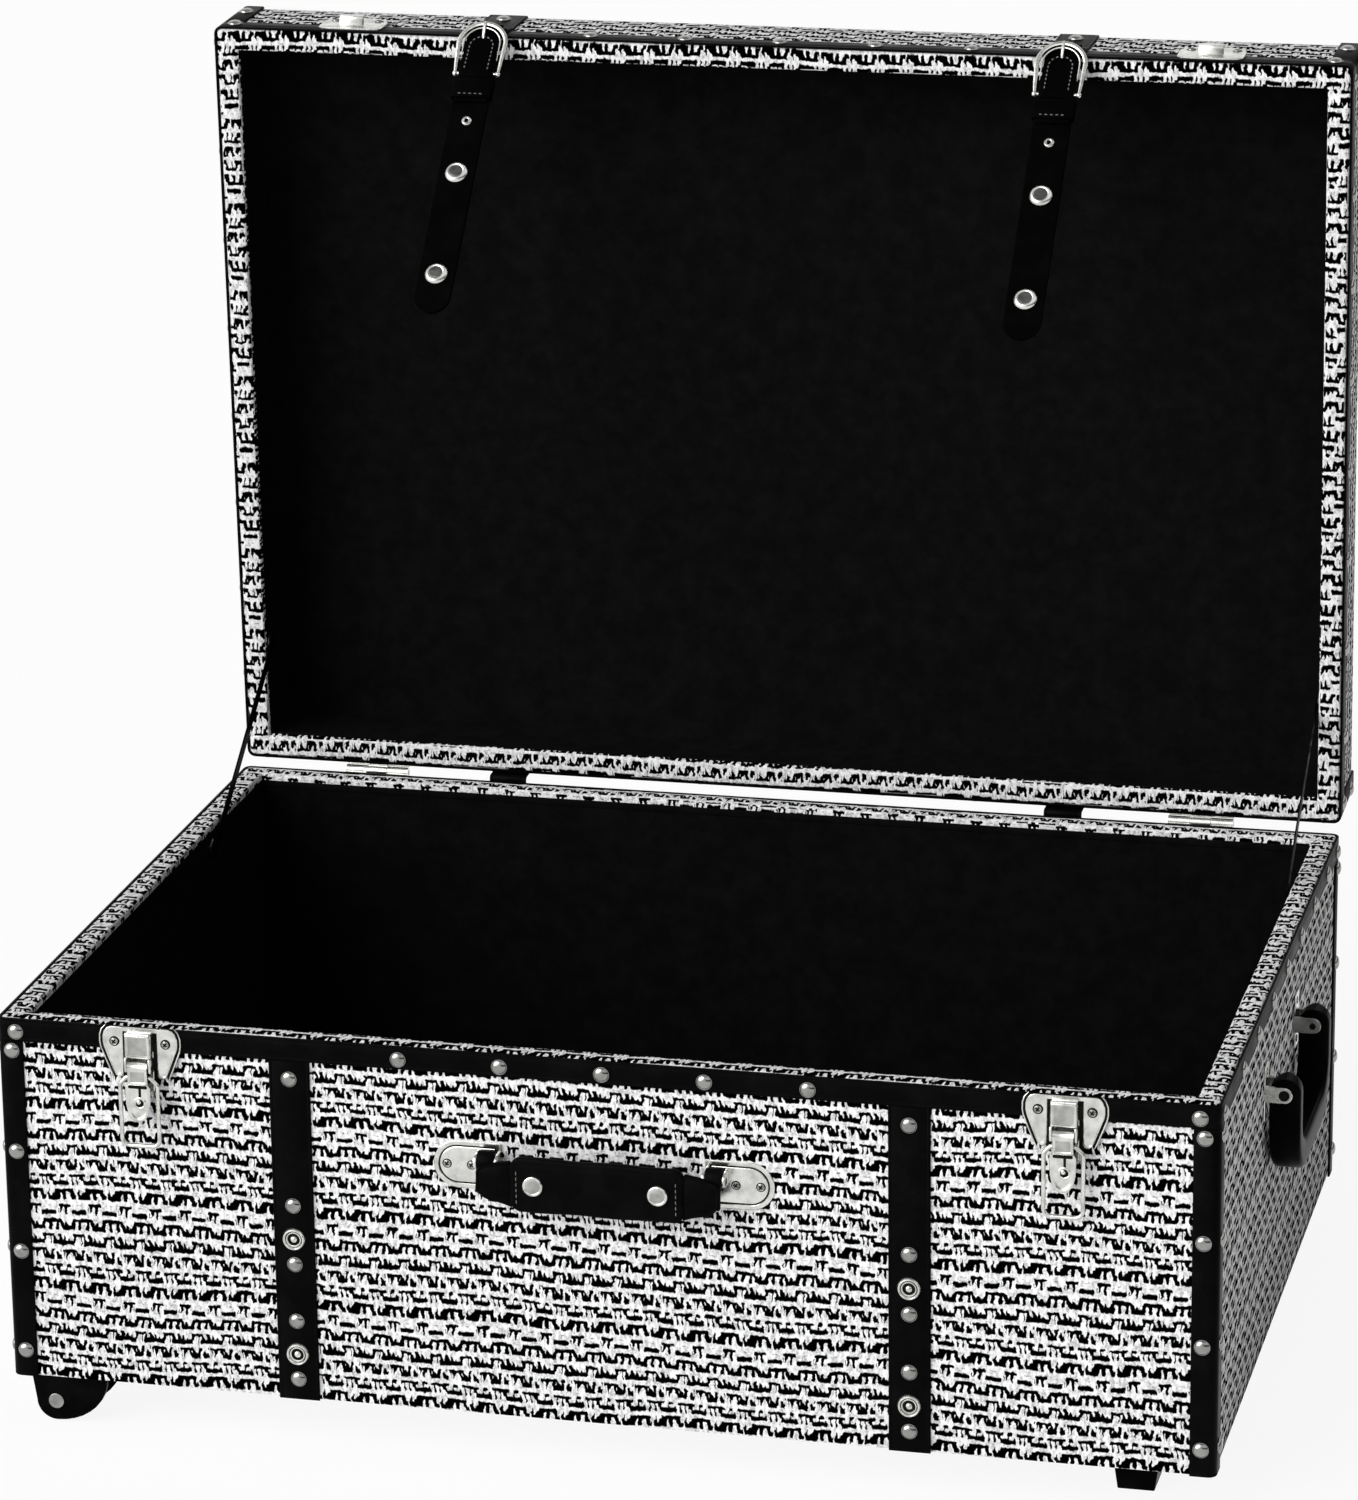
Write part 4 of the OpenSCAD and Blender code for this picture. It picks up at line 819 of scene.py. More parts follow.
# Nails in a row at rowZ on all four walls, at the corners' heights and at the straps' heights.
def wallNails(rowZ, cornerHeights, strapHeights):
    front = [(x, rowZ) for x in rowX] + [(x, z) for x in edgeX for z in cornerHeights]
    front += [(side * strapX, z) for side in sides for z in strapHeights]
    beside = [(y, rowZ) for y in sideY] + [(y, z) for y in edgeY for z in cornerHeights]
    shapes = []
    for wallName, y in (("front", -trim), ("back", width + trim)):
        shapes += scattered(wallName, nailShape, [[x, y, z] for x, z in front])
    for wallName, x in (("left", -half - trim), ("right", half + trim)):
        shapes += scattered(wallName, nailShape, [[x, y, z] for y, z in beside])
    return shapes


makePiece("nailsBody", joined(wallNails(height - drop, cornerZ, strapZ)), "base", nickel, "base_nails")
topY = np.arange(studs["topFirst"], width - studs["topFirst"] + 1, pitch)
topNails = scattered("top", nailShape, [[side * strapX, y, lidHeight + trim] for side in sides for y in topY])
lidNails = wallNails(drop, [lidHeight - studs["lidCorner"]], [studs["lidStrap"]]) + topNails
makePiece("nailsLid", joined(lidNails), "lid", nickel, "lid_nails")

snapShape = joined([lathe(studs["snap"], 32), lathe(studs["post"])])
snapSpots = [[side * strapX, -trim, z] for side in sides for z in snapZ]
# Dark discs in the snaps' wells and dark rings in their grooves: painted shade.
wells = [facing("front", lathe(studs[part]), spot) for spot in snapSpots for part in ("well", "groove")]
makePiece("snapRings", joined(scattered("front", snapShape, snapSpots)), "base", nickelPlate, "snap_rings")

screws = {
    "radius": 2.5, "height": 1.2, "flatHeight": 0.6, "turn": 0.9, "leaf": 1.4, "plate": 1.2,
    "ring": [(2.2, 0.0), (2.2, 0.3), (3.0, 0.3), (3.2, 0.05), (3.2, 0.0), (2.2, 0.0)],
    "slot": (1.5, 0.36, 1.08),      # half length, half width and height of the painted shade in a slot
    "leafHoles": [(-14, -14), (14, -14), (0, -22)],
    "latch": (16.5, 9.5), "keeper": (15, 24), "handle": (83, 98.5), "bracket": (66, 13),
}


# A cross-head screw: a dome with a raised lip and a cross sunk in it, z = dome(r) - depth * cross(x, y).
def crossHead(radius, tall):
    r = np.array([0.001, 0.09, 0.18, 0.27, 0.37, 0.48, 0.6, 0.74, 0.84, 0.92, 1, 1, 0.001])[:, None] * radius
    top = np.array([1, 1, 0.99, 0.98, 0.95, 0.92, 0.86, 0.74, 0.8, 0.7, 0.4, 0, 0])[:, None] * tall
    a = np.linspace(0, 2 * math.pi, 40, endpoint=False) + 0.5
    turn = a - screws["turn"]
    along, across = np.abs(r * np.cos(turn)) / radius, np.abs(r * np.sin(turn)) / radius
    pairs = ((along, across), (across, along))
    slots = [1 / (1 + (w / 0.13) ** 6) / (1 + (l / 0.56) ** 10) for w, l in pairs]
    z = top - 0.55 * tall * np.maximum(*slots) * (top > 0.5 * tall)
    points = np.stack([r * np.cos(a), r * np.sin(a), z], axis=-1).reshape(-1, 3)
    return points, gridFaces(*z.shape, closeColumns=True)


bigScrew = crossHead(screws["radius"], screws["height"])
flatScrew = crossHead(screws["radius"], screws["flatHeight"])


# Painted shade in a screw's cross and round its head: two dark crossed bars and a flat dark ring.
def screwShade(turn):
    long, wide, high = screws["slot"]
    points, faces = pressed(roundRect(-long, -wide, long, wide, 0.2), [(0, 0.1), (0, high)])
    shapes = [lathe(screws["ring"])]
    for angle in (turn, turn + 90):
        c, s = math.cos(math.radians(angle)), math.sin(math.radians(angle))
        shapes.append((points @ np.array([[c, s, 0], [-s, c, 0], [0, 0, 1]]), faces))
    return joined(shapes)


screwShadeShape = screwShade(math.degrees(screws["turn"]))
handleX, handleZ, bracketZ = trunk["middleShift"], 166.0, 178.0
plate, leafY = screws["plate"], width + trim + screws["leaf"]
out, (x, down) = trim + plate, screws["latch"]
bodySpots = [[side * latchX + dx, -out, height - down] for side in sides for dx in (-x, x)]
bodySpots += [[handleX + side * x, 0.4 - plate, handleZ] for side in sides for x in screws["handle"]]
x, up = screws["keeper"]
keeperSpots = [[side * latchX + dx, 0.25 - out, up] for side in sides for dx in (-x, x)]
leafSpots = [[side * hingeX + x, leafY, z] for side in sides for x, z in screws["leafHoles"]]
bodyScrews = scattered("front", bigScrew, bodySpots)
bodyScrews += scattered("back", bigScrew, [[x, y, hingeInTrunk[2] + z] for x, y, z in leafSpots])
away, up = screws["bracket"]
for wallName, x in (("left", -half - plate), ("right", half + plate)):
    spots = [[x, width / 2 + end * away, bracketZ + dz] for end in sides for dz in (-up, up)]
    bodyScrews += scattered(wallName, flatScrew, spots)
lidScrews = scattered("front", bigScrew, keeperSpots)
lidScrews += scattered("back", bigScrew, [[x, y, -0.5 - z] for x, y, z in leafSpots])
makePiece("screwsBody", joined(bodyScrews), "base", nickel, "base_screws")
makePiece("screwsLid", joined(lidScrews), "lid", nickel, "lid_screws")
# Painted shade in the snap wells, in the screws' crosses and round their heads.
makePiece("darkRecessesBody", joined(wells + scattered("front", screwShadeShape, bodySpots)), "base", shadeNickel)
makePiece("darkRecessesLid", joined(scattered("front", screwShadeShape, keeperSpots)), "lid", shadeNickel)
print("nails and screws made")


# Latches and keepers

latch = {
    "ear": [(11, 240), (11, 209.5), (12, 207.8), (14, 207.3), (16, 208.2), (17.6, 211.4), (21.2, 220.5),
            (23.6, 227), (24.1, 230), (24, 234), (23, 237), (21, 239.2), (18.5, 240)],
    "bridge": [(-13, 237.2), (13, 237.2), (13, 240), (-13, 240)],
    "backPlate": (-8.4, 199, 8.4, 226),
    "bead": (0.5, 1.9),      # its radius, and how far it lies outside the ear
    "box": [-8.1, 222, 8.1, 237.6],
    "boxOut": 9.0,
    "cheekX": (6.85, 8.4),
    "leverPin": (7.0, 216.0),
    "loopPivot": (7.5, 209.5),
    "tongue": [(-7.2, 205.4), (7.2, 205.4), (8.0, 204.2), (8.1, 199), (7.8, 192), (6.7, 187), (4.6, 183.2),
               (2.2, 181.5), (0, 181)],
    "dimple": [1.0, 193.4],
    "shade": [(-11.6, 205), (11.6, 205), (11.6, 239.4), (-11.6, 239.4)],
    "loopHalf": 12.1,
    "loopLength": 45.0,
    "loopCorner": 5.0,
    "wire": 1.35,
}
plateLevels = [(0.2, 0), (0, 0.2), (0, 0.8), (0.35, 1.2), (0.8, 1.2)]
earLevels = [(0.2, 0), (0, 0.2), (0, 0.9), (0.3, 1.2), (0.9, 1.3), (1.5, 1.2), (2, 0.95), (2.8, 0.95)]
flatLevels = [(0, 0), (0, 0.25)]
faceLevels = [(0, 0), (0, 0.12), (0.4, 0.14)]
ears = [anticlockwise(np.array(latch["ear"]) * [side, 1]) for side in sides]
beadRadius, beadOut = latch["bead"]
beadLine = insetOutline(ears[1], -beadOut)[4:12]
beadSize = [0.3] + [1] * 6 + [0.3]
bead = carried(upright(beadLine, -trim - 0.5), circleProfile(beadRadius, 8), [0, 1, 0], beadSize)
# Flat dark sheets in the gaps beside the ears' beads and between the ears behind the box: painted shade.
gapRight = np.concatenate([beadLine, [[17.5, 236], [15.5, 211]]])
gaps = [anticlockwise(gap) for gap in (gapRight, gapRight * [-1, 1], latch["shade"])]
x0, z0, x1, z1 = latch["box"]
boxOut = latch["boxOut"]
deep = boxOut - trim
boxLevels = [(0, 0), (0, deep - 1.2), (0.4, deep - 0.4), (0.9, deep), (1.5, deep)]
boxLevels += [(2, deep - 0.7), (2.5, deep - 0.8)]
pinOut, pinZ = latch["leverPin"]
cheek = [(-trim, pinZ - 4), (-pinOut, pinZ - 4), (-pinOut - 2.6, pinZ - 2.6), (-pinOut - 2.6, pinZ + 4),
         (-9, pinZ + 6.2), (-trim, pinZ + 6.2)]
plateParts = [onFront(-trim, ear, earLevels, True) for ear in ears] + [
    onFront(-trim, anticlockwise(latch["bridge"]), plateLevels, True),
    onFront(-trim, roundRect(x0, z0, x1, z1, 0.8), boxLevels, True),
    onFront(-trim, roundRect(*latch["backPlate"], 1), plateLevels),
    rodX(x0 + 0.4, x1 - 0.4, 1.3 - boxOut, z1 - 0.2, 1.1, 14),
    bead, (bead[0] * [-1, 1, 1], bead[1]),
] + [slabX(softened(cheek), *sorted(side * x for x in latch["cheekX"])) for side in sides]
boxFace = onFront(0.85 - boxOut, roundRect(x0 + 2.1, z0 + 2.1, x1 - 2.1, z1 - 2.1, 0.3), faceLevels, True)
latchShade = joined([onFront(-trim, gap, flatLevels) for gap in gaps])
makePiece("latchPlates", bothSides(joined(plateParts), latchX), "base", nickelPlate, "latch_plates")
makePiece("latchFaces", bothSides(boxFace, latchX), "base", nickelFace)
makePiece("latchGrooves", bothSides(latchShade, latchX), "base", shadeNickel)

knuckle = arc(-pinOut, pinZ, 3.8, 95, 265, 12)
leverSide = np.concatenate([knuckle, [[-4, pinZ - 5], [-4, pinZ - 11], [-9.2, pinZ - 11]]])
leverLevels = [(0, 0), (0, 0.9), (0.35, 1.3), (1.3, 1.3), (1.8, 0.9), (2.3, 0.85)]
tongue = latch["tongue"]
tongueOutline = anticlockwise(tongue + [(-x, z) for x, z in tongue[2:-1]][::-1])
tongueLevels = [(0.4, 0), (0, 0.4), (0, 1.1), (0.35, 1.45), (1, 1.5), (1.8, 1.3), (2.6, 0.85), (3.4, 0.75)]
dimpleRing = [(2.6, 0), (2.6, 0.35), (3.0, 0.6), (3.6, 0.6), (4.1, 0.2), (4.1, 0), (2.6, 0)]
boss = [(0, 0.95), (0.8, 0.85), (1.4, 0.5), (1.6, 0), (0, 0)]
dimpleX, dimpleZ = latch["dimple"]
lever = joined([
    slabX(leverSide, -6.5, 6.5, 0.4),
    onFront(-9.2, roundRect(-6.4, pinZ - 10.6, 6.4, pinZ + 1.2, 1), leverLevels, True),
    onFront(-9, tongueOutline, tongueLevels, True),
    facing("front", lathe(dimpleRing), [dimpleX, -9.7, dimpleZ]),
    facing("front", lathe(boss, 16), [dimpleX - 0.7, -9.7, dimpleZ + 0.8]),
])
leverFace = onFront(-10.0, roundRect(-4.6, pinZ - 9, 4.6, pinZ - 0.7, 0.3), faceLevels, True)
# A dark disc in the dimple, a dark slot above it and a dark strip under the lever's lower edge: painted
# shade.
dimpleDark = joined([
    facing("front", lathe([(0, 0.2), (2.7, 0.2), (2.7, 0), (0, 0)], 20), [dimpleX, -9.7, dimpleZ]),
    onFront(-9.7, roundRect(dimpleX - 0.6, dimpleZ + 2, dimpleX + 1.0, 204, 0.5), flatLevels),
    onFront(-10.0, roundRect(-6, 203.2, 6.2, 205.3, 0.8), [(0, 0), (0, 0.62)]),
])
loopOut, loopZ = latch["loopPivot"]
w, length, r = latch["loopHalf"], latch["loopLength"], latch["loopCorner"]
loopSide = np.concatenate([
    [[3.9, 0], [6.8, 0], [7.8, -0.3], [w - 1.1, -3.4], [w - 0.3, -4.3], [w, -5.4]],
    [[w, -12], [w - 0.1, -25], [w, 8 - length]], arc(w - r, r - length, r, 0, -90, 7),
])
loopPath = upright(np.concatenate([loopSide, loopSide[::-1] * [-1, 1]]))
loop = moved(carried(loopPath, circleProfile(latch["wire"]), [0, 1, 0]), [0, -loopOut, loopZ])
for side, word in sideWords:
    for name, shape, body, finish, *nodes in (
        ("latchLever", lever, "lever_", nickelPlate, "latch_lever_" + word),
        ("latchLoop", loop, "loop_", nickelPlate, "latch_loop_" + word),
        ("leverFace", leverFace, "lever_", nickelFace),
        ("leverDimple", dimpleDark, "lever_", shadeNickel),
    ):
        makePiece(name + word.capitalize(), moved(shape, [side * latchX, 0, 0]), body + word, finish, *nodes)

keeper = {
    "plate": [(-19, 2), (19, 2), (22, 5), (22, 24), (14, 32), (-14, 32), (-22, 24), (-22, 5)],
    "hook": [
        (-2.6, 8.35), (-8.2, 9.35), (-9.2, 10.35), (-9.2, 15.85), (-7.2, 15.85), (-7.2, 12.35), (-2.6, 12.35),
    ],
}
keeperLevels = [(0.2, 0), (0, 0.2), (0, 0.8), (0.35, 1.2), (2, 1.2), (2.4, 0.95), (3, 0.95), (3.4, 1.2)]
keeperShape = joined([
    onFront(-trim, softened(keeper["plate"], 2), keeperLevels, True),
    slabX(softened(keeper["hook"]), -8, 8, 0.4),
])
makePiece("latchKeepers", bothSides(keeperShape, latchX), "lid", nickelPlate, "lid_keepers")
easedNode("frontPins", "front_pins", "base", nickel, 0.2)
print("latches made")


# Front handle

handle = {
    "pinZ": 172.0, "pinOut": 9.0, "inner": 64.0, "outer": 107.0, "endRadius": 15.4,
    "earX": [64.0, 76.8], "earThickness": 2.0, "earRadius": 4.5,
    "padHalf": 54.5, "padLow": 144.5, "padHigh": 181.0, "padOut": 16.5, "padThick": 4.4, "padEdge": 1.7,
    "tabX": [66.3, 76.5], "tabLow": 155.0, "tabRadius": 6.2, "tabTop": 179.2, "linkOut": 14.1,
    "link": [
        (52, 146.5), (60, 149.2), (70, 151), (75.4, 155.5), (76, 160), (76, 171), (66, 174.5), (52, 177),
    ],
    "rivet": (39.0, 163.5), "rivetOut": 21.0,
}
endPlateLevels = [
    (0.3, 0), (0, 0.3), (0, 0.8), (0.4, 1.15), (1.4, 1.3), (2.6, 1.2), (3.1, 0.75), (3.9, 0.75), (4.3, 1),
    (5, 1.05),
]
grooveLevels = ((2.95, 0.5), (2.95, 0.85), (3.95, 0.85), (3.95, 0.5))
r, earR, pinZ = handle["endRadius"], handle["earRadius"], handle["pinZ"]
plateEnd = arc(handle["outer"] - r, handleZ, r, -90, 90, 24)
flat = np.linspace(handle["outer"] - r, handle["inner"], 8)[1:]
below, over = [np.column_stack([flat, np.full(7, z)]) for z in (handleZ - r, handleZ + r)]
plateOutline = np.concatenate([below[::-1], plateEnd, over])
earRound = arc(-handle["pinOut"], pinZ, earR, 90, 270, 14)
ear = np.concatenate([[[-0.4, pinZ + earR]], earRound, [[-0.4, pinZ - earR]]])
plateParts, grooveParts = [], []
for side in sides:
    outline = anticlockwise(plateOutline * [side, 1])
    plateParts.append(onFront(0, outline, endPlateLevels))
    count = len(outline)
    rings = [np.column_stack([insetOutline(outline, inset), np.full(count, z)]) for inset, z in grooveLevels]
    grooveParts.append(facing("front", (np.concatenate(rings), gridFaces(4, count, True, True))))
    for x in handle["earX"]:
        plateParts.append(slabX(ear, *sorted([side * x, side * (x + handle["earThickness"])]), 0.35))
makePiece("handlePlates", moved(joined(plateParts), [handleX, 0, 0]), "base", nickelPlate, "handle_plates")
# A flat dark ring in each end plate's groove: painted shade.
makePiece("handleGrooves", moved(joined(grooveParts), [handleX, 0, 0]), "base", shadeNickel)


# The grip's pad: half thickness = edge + swell * (1 - |v|^p)^a * (1 - |u|^q)^b over its length u and its
# height v, with a crease that runs round beside the seam and round corners.
def padShape(columns=72, rows=26):
    h = handle
    u, v = [np.sin(np.linspace(-math.pi / 2, math.pi / 2, count)) for count in (columns, rows)]
    u, v = np.meshgrid(u, v, indexing="ij")
    halfHigh, middle = (h["padHigh"] - h["padLow"]) / 2, (h["padHigh"] + h["padLow"]) / 2
    ends = np.clip((np.abs(u) * h["padHalf"] - h["padHalf"] + 7) / 7, 0, 1)
    high = halfHigh - 7 * (1 - np.sqrt(1 - ends**2))
    sag = 0.6 * np.sin(u * 2.2 + 0.5)
    x = u * h["padHalf"] * (1 - 0.012 * (1 - v**2))
    z = middle - 0.3 + v * (high - 0.9) + sag * (1 - np.abs(v)) + 0.35 * np.sin(u * 7.0) * v
    swell = (1 - np.abs(v) ** 3) ** 0.55 * (1 - np.abs(u) ** 8) ** 0.5
    inEdge = np.minimum((1 - np.abs(v)) * halfHigh, (1 - np.abs(u)) * h["padHalf"])
    crease = 0.35 * np.exp(-((inEdge - 3.2) / 0.7) ** 2)
    thick = h["padEdge"] + (h["padThick"] - h["padEdge"]) * swell - crease
    front = np.stack([x, -h["padOut"] - thick, z], axis=-1)
    back = np.stack([x, -h["padOut"] + thick * 0.75, z], axis=-1)
    ring = np.concatenate([front, back[:, ::-1]], axis=1)
    return ring.reshape(-1, 3), tubeFaces(columns, ring.shape[1])


tabArc = arc(-handle["pinOut"], pinZ, handle["tabRadius"], 200, -10, 18)
above = np.maximum(tabArc[:, 1] - pinZ, 0) / handle["tabRadius"]
tabArc[:, 1] += above * (handle["tabTop"] - pinZ - handle["tabRadius"])
low = handle["tabLow"]
tabFoot = [[-13.6, pinZ - 5], [-13.8, low + 1], [-14.8, low], [-17.2, low], [-18.1, low + 1]]
tabProfile = np.concatenate([tabArc, tabFoot])
linkLevels = [(0.5, 0), (0, 0.5), (0, 3.3), (0.4, 3.8), (1.4, 3.9), (1.9, 3.6), (2.4, 3.9)]
gripParts, stitchParts = [padShape()], []
for side in sides:
    gripParts.append(slabX(tabProfile, *sorted(side * x for x in handle["tabX"]), 0.6))
    link = softened(np.array(handle["link"]) * [side, 1])
    gripParts.append(onFront(-handle["linkOut"], link, linkLevels, True))
    seamX = side * (handle["padHalf"] - 4.6)
    seam = np.array([[seamX, -handle["padOut"] - 3.55, z] for z in np.linspace(150, 174, 12)])
    stitchParts.append(stitches(seam, np.tile([0.0, -1.0, 0.0], (12, 1)), 2.4, 1.3, 0.32))
gripShape = moved(joined(gripParts), [handleX, 0, 0])
grip = makePiece("handleGrip", gripShape, "grip", gripLeather, "handle_grip", sharp=40)
makePiece("gripStitches", moved(joined(stitchParts), [handleX, 0, 0]), "grip", thread)
rivetProfile = [
    (0, 1.5), (4.6, 1.5), (4.9, 1.6), (5.2, 1.9), (5.7, 1.98), (6.2, 1.6), (6.5, 0.8), (6.5, -1.5), (0, -1.5),
]
rivetFace = [(0, 1.78), (2.5, 1.76), (4.2, 1.62), (4.7, 1.5), (4.7, 1.4), (0, 1.4)]
rivetX, rivetZ = handle["rivet"]
rivetSpots = [[handleX + side * rivetX, -handle["rivetOut"], rivetZ] for side in sides]
rivets, rivetFaces = [joined(scattered("front", lathe(p, 32), rivetSpots)) for p in (rivetProfile, rivetFace)]
makePiece("handleRivets", rivets, "grip", nickelPlate, "handle_rivets")
makePiece("rivetFaces", rivetFaces, "grip", nickelFace)
print("front handle made")


# Side handles

bail = {
    "pinOut": 13.0, "halfWidth": 71.0, "arm": 14.0, "thick": 20.0, "drop": 60.0, "bend": 38.0,
    "bar": 20.0, "end": 10.0, "innerEar": (54.0, 56.2), "earHalf": 5.2, "pinAway": 73.8,
}
armMiddle = bail["halfWidth"] - bail["arm"] / 2
barMiddle = -bail["drop"] + bail["bar"] / 2
turnY, turnZ = bail["halfWidth"] - bail["bend"], -bail["drop"] + bail["bend"]
quarter = np.radians(np.linspace(0, 90, 10))
endTurn = np.radians(np.linspace(0, 90, 9))
armEnd = np.column_stack([np.full(9, armMiddle), bail["end"] * np.cos(endTurn)])
armDown = np.column_stack([np.full(4, armMiddle), np.linspace(0, turnZ, 5)[1:]])
bow = np.column_stack([
    turnY + (armMiddle - turnY) * np.cos(quarter), turnZ + (barMiddle - turnZ) * np.sin(quarter)
])[1:]
sideFlat = np.concatenate([armEnd, armDown, bow, [[turnY * 0.5, barMiddle], [0, barMiddle]]])
flat = np.concatenate([sideFlat, sideFlat[:-1][::-1] * [-1, 1]])
thinning = np.concatenate([np.sin(endTurn) * 0.995 + 0.005, np.ones(len(sideFlat) - 9)])
growth = np.clip((turnZ - sideFlat[:, 1]) / (turnZ - barMiddle), 0, 1)
size = np.column_stack([thinning, 1 + (bail["bar"] / bail["arm"] - 1) * growth])
size = np.concatenate([size, size[:-1][::-1]])
bailPath = np.column_stack([np.zeros(len(flat)), flat])
bailProfile = roundRect(-bail["thick"] / 2, -bail["arm"] / 2, bail["thick"] / 2, bail["arm"] / 2, 3.2, 6)
bailShape = carried(bailPath, bailProfile, [1, 0, 0], size)
for side, word in sideWords:
    shape = moved(bailShape, [side * (half + bail["pinOut"]), width / 2, bracketZ])
    makePiece("sideHandle" + word.capitalize(), shape, "bail_" + word, plastic, "side_handle_" + word)
easedNode("sideBrackets", "side_brackets", "base", nickelPlate, 0.5)
# The inner ears stand behind the arms: a bar with a round end, from the wall to past the pin
earEnd = arc(bail["pinOut"], 0, bail["earHalf"], -90, 90, 12)
earLine = np.concatenate([[[0, bail["earHalf"]], [0, -bail["earHalf"]]], earEnd])
innerEars = []
for side in sides:
    outline = anticlockwise(earLine * [side, 1]) + [side * half, bracketZ]
    for end in sides:
        y0, y1 = sorted(width / 2 + end * y for y in bail["innerEar"])
        points, faces = pressed(outline, [(0.25, 0), (0, 0.25), (0, y1 - y0 - 0.25), (0.25, y1 - y0)])
        innerEars.append((points[:, [0, 2, 1]] + [0, y0, 0], faces))
makePiece("sideInnerEars", joined(innerEars), "base", nickelFace)
pin = lathe([
    (0, 1.0), (1.3, 1.0), (1.7, 0.7), (2.6, 0.75), (3, 0.95), (3.4, 0.5), (3.4, 0), (2, -0.2), (2, -21),
    (0, -21),
])
sidePins = []
for side in sides:
    for wallName, end in (("back", 1), ("front", -1)):
        spot = [side * (half + bail["pinOut"]), width / 2 + end * bail["pinAway"], bracketZ]
        sidePins.append(facing(wallName, pin, spot))
# The pins' heads are in the nearly black copy of the nickel: painted shade.
makePiece("sidePins", joined(sidePins), "base", shadeNickel, "side_pins")
print("side handles made")


# Wheels, feet and hinges

for name, node, body, finish, ease in (
    ("wheelHousings", "wheel_housings", "base", plastic, 0.7),
    ("wheelAxles", "wheel_axles", "base", nickel, 0.35),
    ("feetBlocks", "feet", "base", (plastic[0], "rubber"), 0.8),
    ("hingeLeavesBody", "hinge_base_leaves", "base", nickelPlate, 0.25),
    ("hingeLeavesLid", "hinge_lid_leaves", "lid", nickelPlate, 0.25),
    ("hingePins", "hinge_pins", "base", nickel, 0.2),
):
    easedNode(name, node, body, finish, ease)
wheel = {"radius": 14.5, "halfWidth": 11.0, "bore": 3.05, "axleZ": -16.5, "x": 25.5 - half, "frontY": 6.5}
w, r = wheel["halfWidth"], wheel["radius"]
tyre = [
    (wheel["bore"], w - 2), (6.5, w - 2), (7.2, w - 0.6), (8.4, w), (12.6, w), (14.1, w - 1), (r, w - 2.6),
    (r, 4.4), (14.1, 4), (14.1, 3.2), (r, 2.8),
]
tyre = tyre + [(radius, -z) for radius, z in tyre[::-1]] + tyre[:1]
for word, y in (("front", wheel["frontY"] + w), ("back", width - wheel["frontY"] - w)):
    shape = facing("front", lathe(tyre, 40), [wheel["x"], y, wheel["axleZ"]])
    makePiece("wheel" + word.capitalize(), shape, "roller_" + word, rubber, "wheel_" + word)
disc = lathe([
    (0, 2.3), (1.2, 2.3), (1.6, 2), (2.6, 2), (3, 2.25), (4.5, 2), (6.2, 1.6), (7, 1), (7, 0), (0, 0),
], 28)
for word, body, y, z in (
    ("Body", "base", stay["bodyY"], height - stay["drop"]), ("Lid", "lid", stay["lidY"], stay["lidZ"]),
):
    spots = (("right", [wall - half, y, z]), ("left", [half - wall, y, z]))
    discs = joined([facing(wallName, disc, spot) for wallName, spot in spots])
    makePiece("stayDiscs" + word, discs, body, nickel, "stay_" + body + "_anchors")
print("wheels and hinges made")


# Strap tails with their buckles

tail = {
    "halfWidth": 12.5, "thick": 2.6, "length": 220.0, "barZ": -37.0, "footX": 14.5, "arcZ": -14.0,
    "arcRadius": 16.0, "innerRadius": 12.4, "lapHalf": 11.5, "archHalf": 9.8, "seamHalf": 7.9,
    "roundZ": -16.0, "loopZ": [-57.0, -42.0], "loopThick": 1.2, "eyeletZ": -74.0, "capZ": [-114.0, -191.0],
}
w, roundZ, barZ, footX = tail["halfWidth"], tail["roundZ"], tail["barZ"], tail["footX"]
endZ = w - tail["length"]
endTurn = np.radians(np.linspace(0, 88, 10))
tailZ = np.concatenate([np.linspace(barZ - 1.6, endZ, 26)[:-1], endZ - w * np.sin(endTurn)])
tailWide = np.concatenate([np.full(25, w), w * np.cos(endTurn)])
lapPath = [[0, 2.2, 2.6], [0, 2.2, 0.6], [0, 2.0, -1.5], [0, 0.4, -15], [0, -1.8, -32], [0, -2.2, -35.5],
           [0, -2.2, -39], [0, -2.0, -41.5], [0, -2.0, -60]]
# The tail's own stitched end: an arch lying on the lap inside the frame
archHalf, archTurn = tail["archHalf"], np.radians(np.linspace(88, 0, 9))
archZ = np.concatenate([roundZ + archHalf * np.sin(archTurn), np.linspace(-18, -41, 8)])
archY = np.interp(-archZ, [0, 15, 32, 35.5, 39, 42], [1.2, -0.6, -2.75, -3.1, -3.1, -2.75])
archWide = np.concatenate([archHalf * np.cos(archTurn), np.full(8, archHalf)])
tailStraps = joined([
    looseStrap(np.column_stack([0 * tailZ, 0 * tailZ, tailZ]), [1, 0, 0], tailWide, tail["thick"]),
    looseStrap(lapPath, [1, 0, 0], np.full(9, tail["lapHalf"]), 1.4),
    looseStrap(np.column_stack([0 * archZ, archY, archZ]), [1, 0, 0], archWide, 0.9),
])
seamHalf, seamTurn, seamDown = tail["seamHalf"], np.radians(np.linspace(0, 180, 19)), np.linspace(-36, -17, 7)
seamX = np.concatenate([[seamHalf] * 7, seamHalf * np.cos(seamTurn), [-seamHalf] * 7])
seamZ = np.concatenate([seamDown, roundZ + seamHalf * np.sin(seamTurn), seamDown[::-1]])
seamY = np.interp(-seamZ, [0, 15, 32, 35.5, 39], [0.75, -1.05, -3.2, -3.55, -3.55])
loopLow, loopHigh = tail["loopZ"]
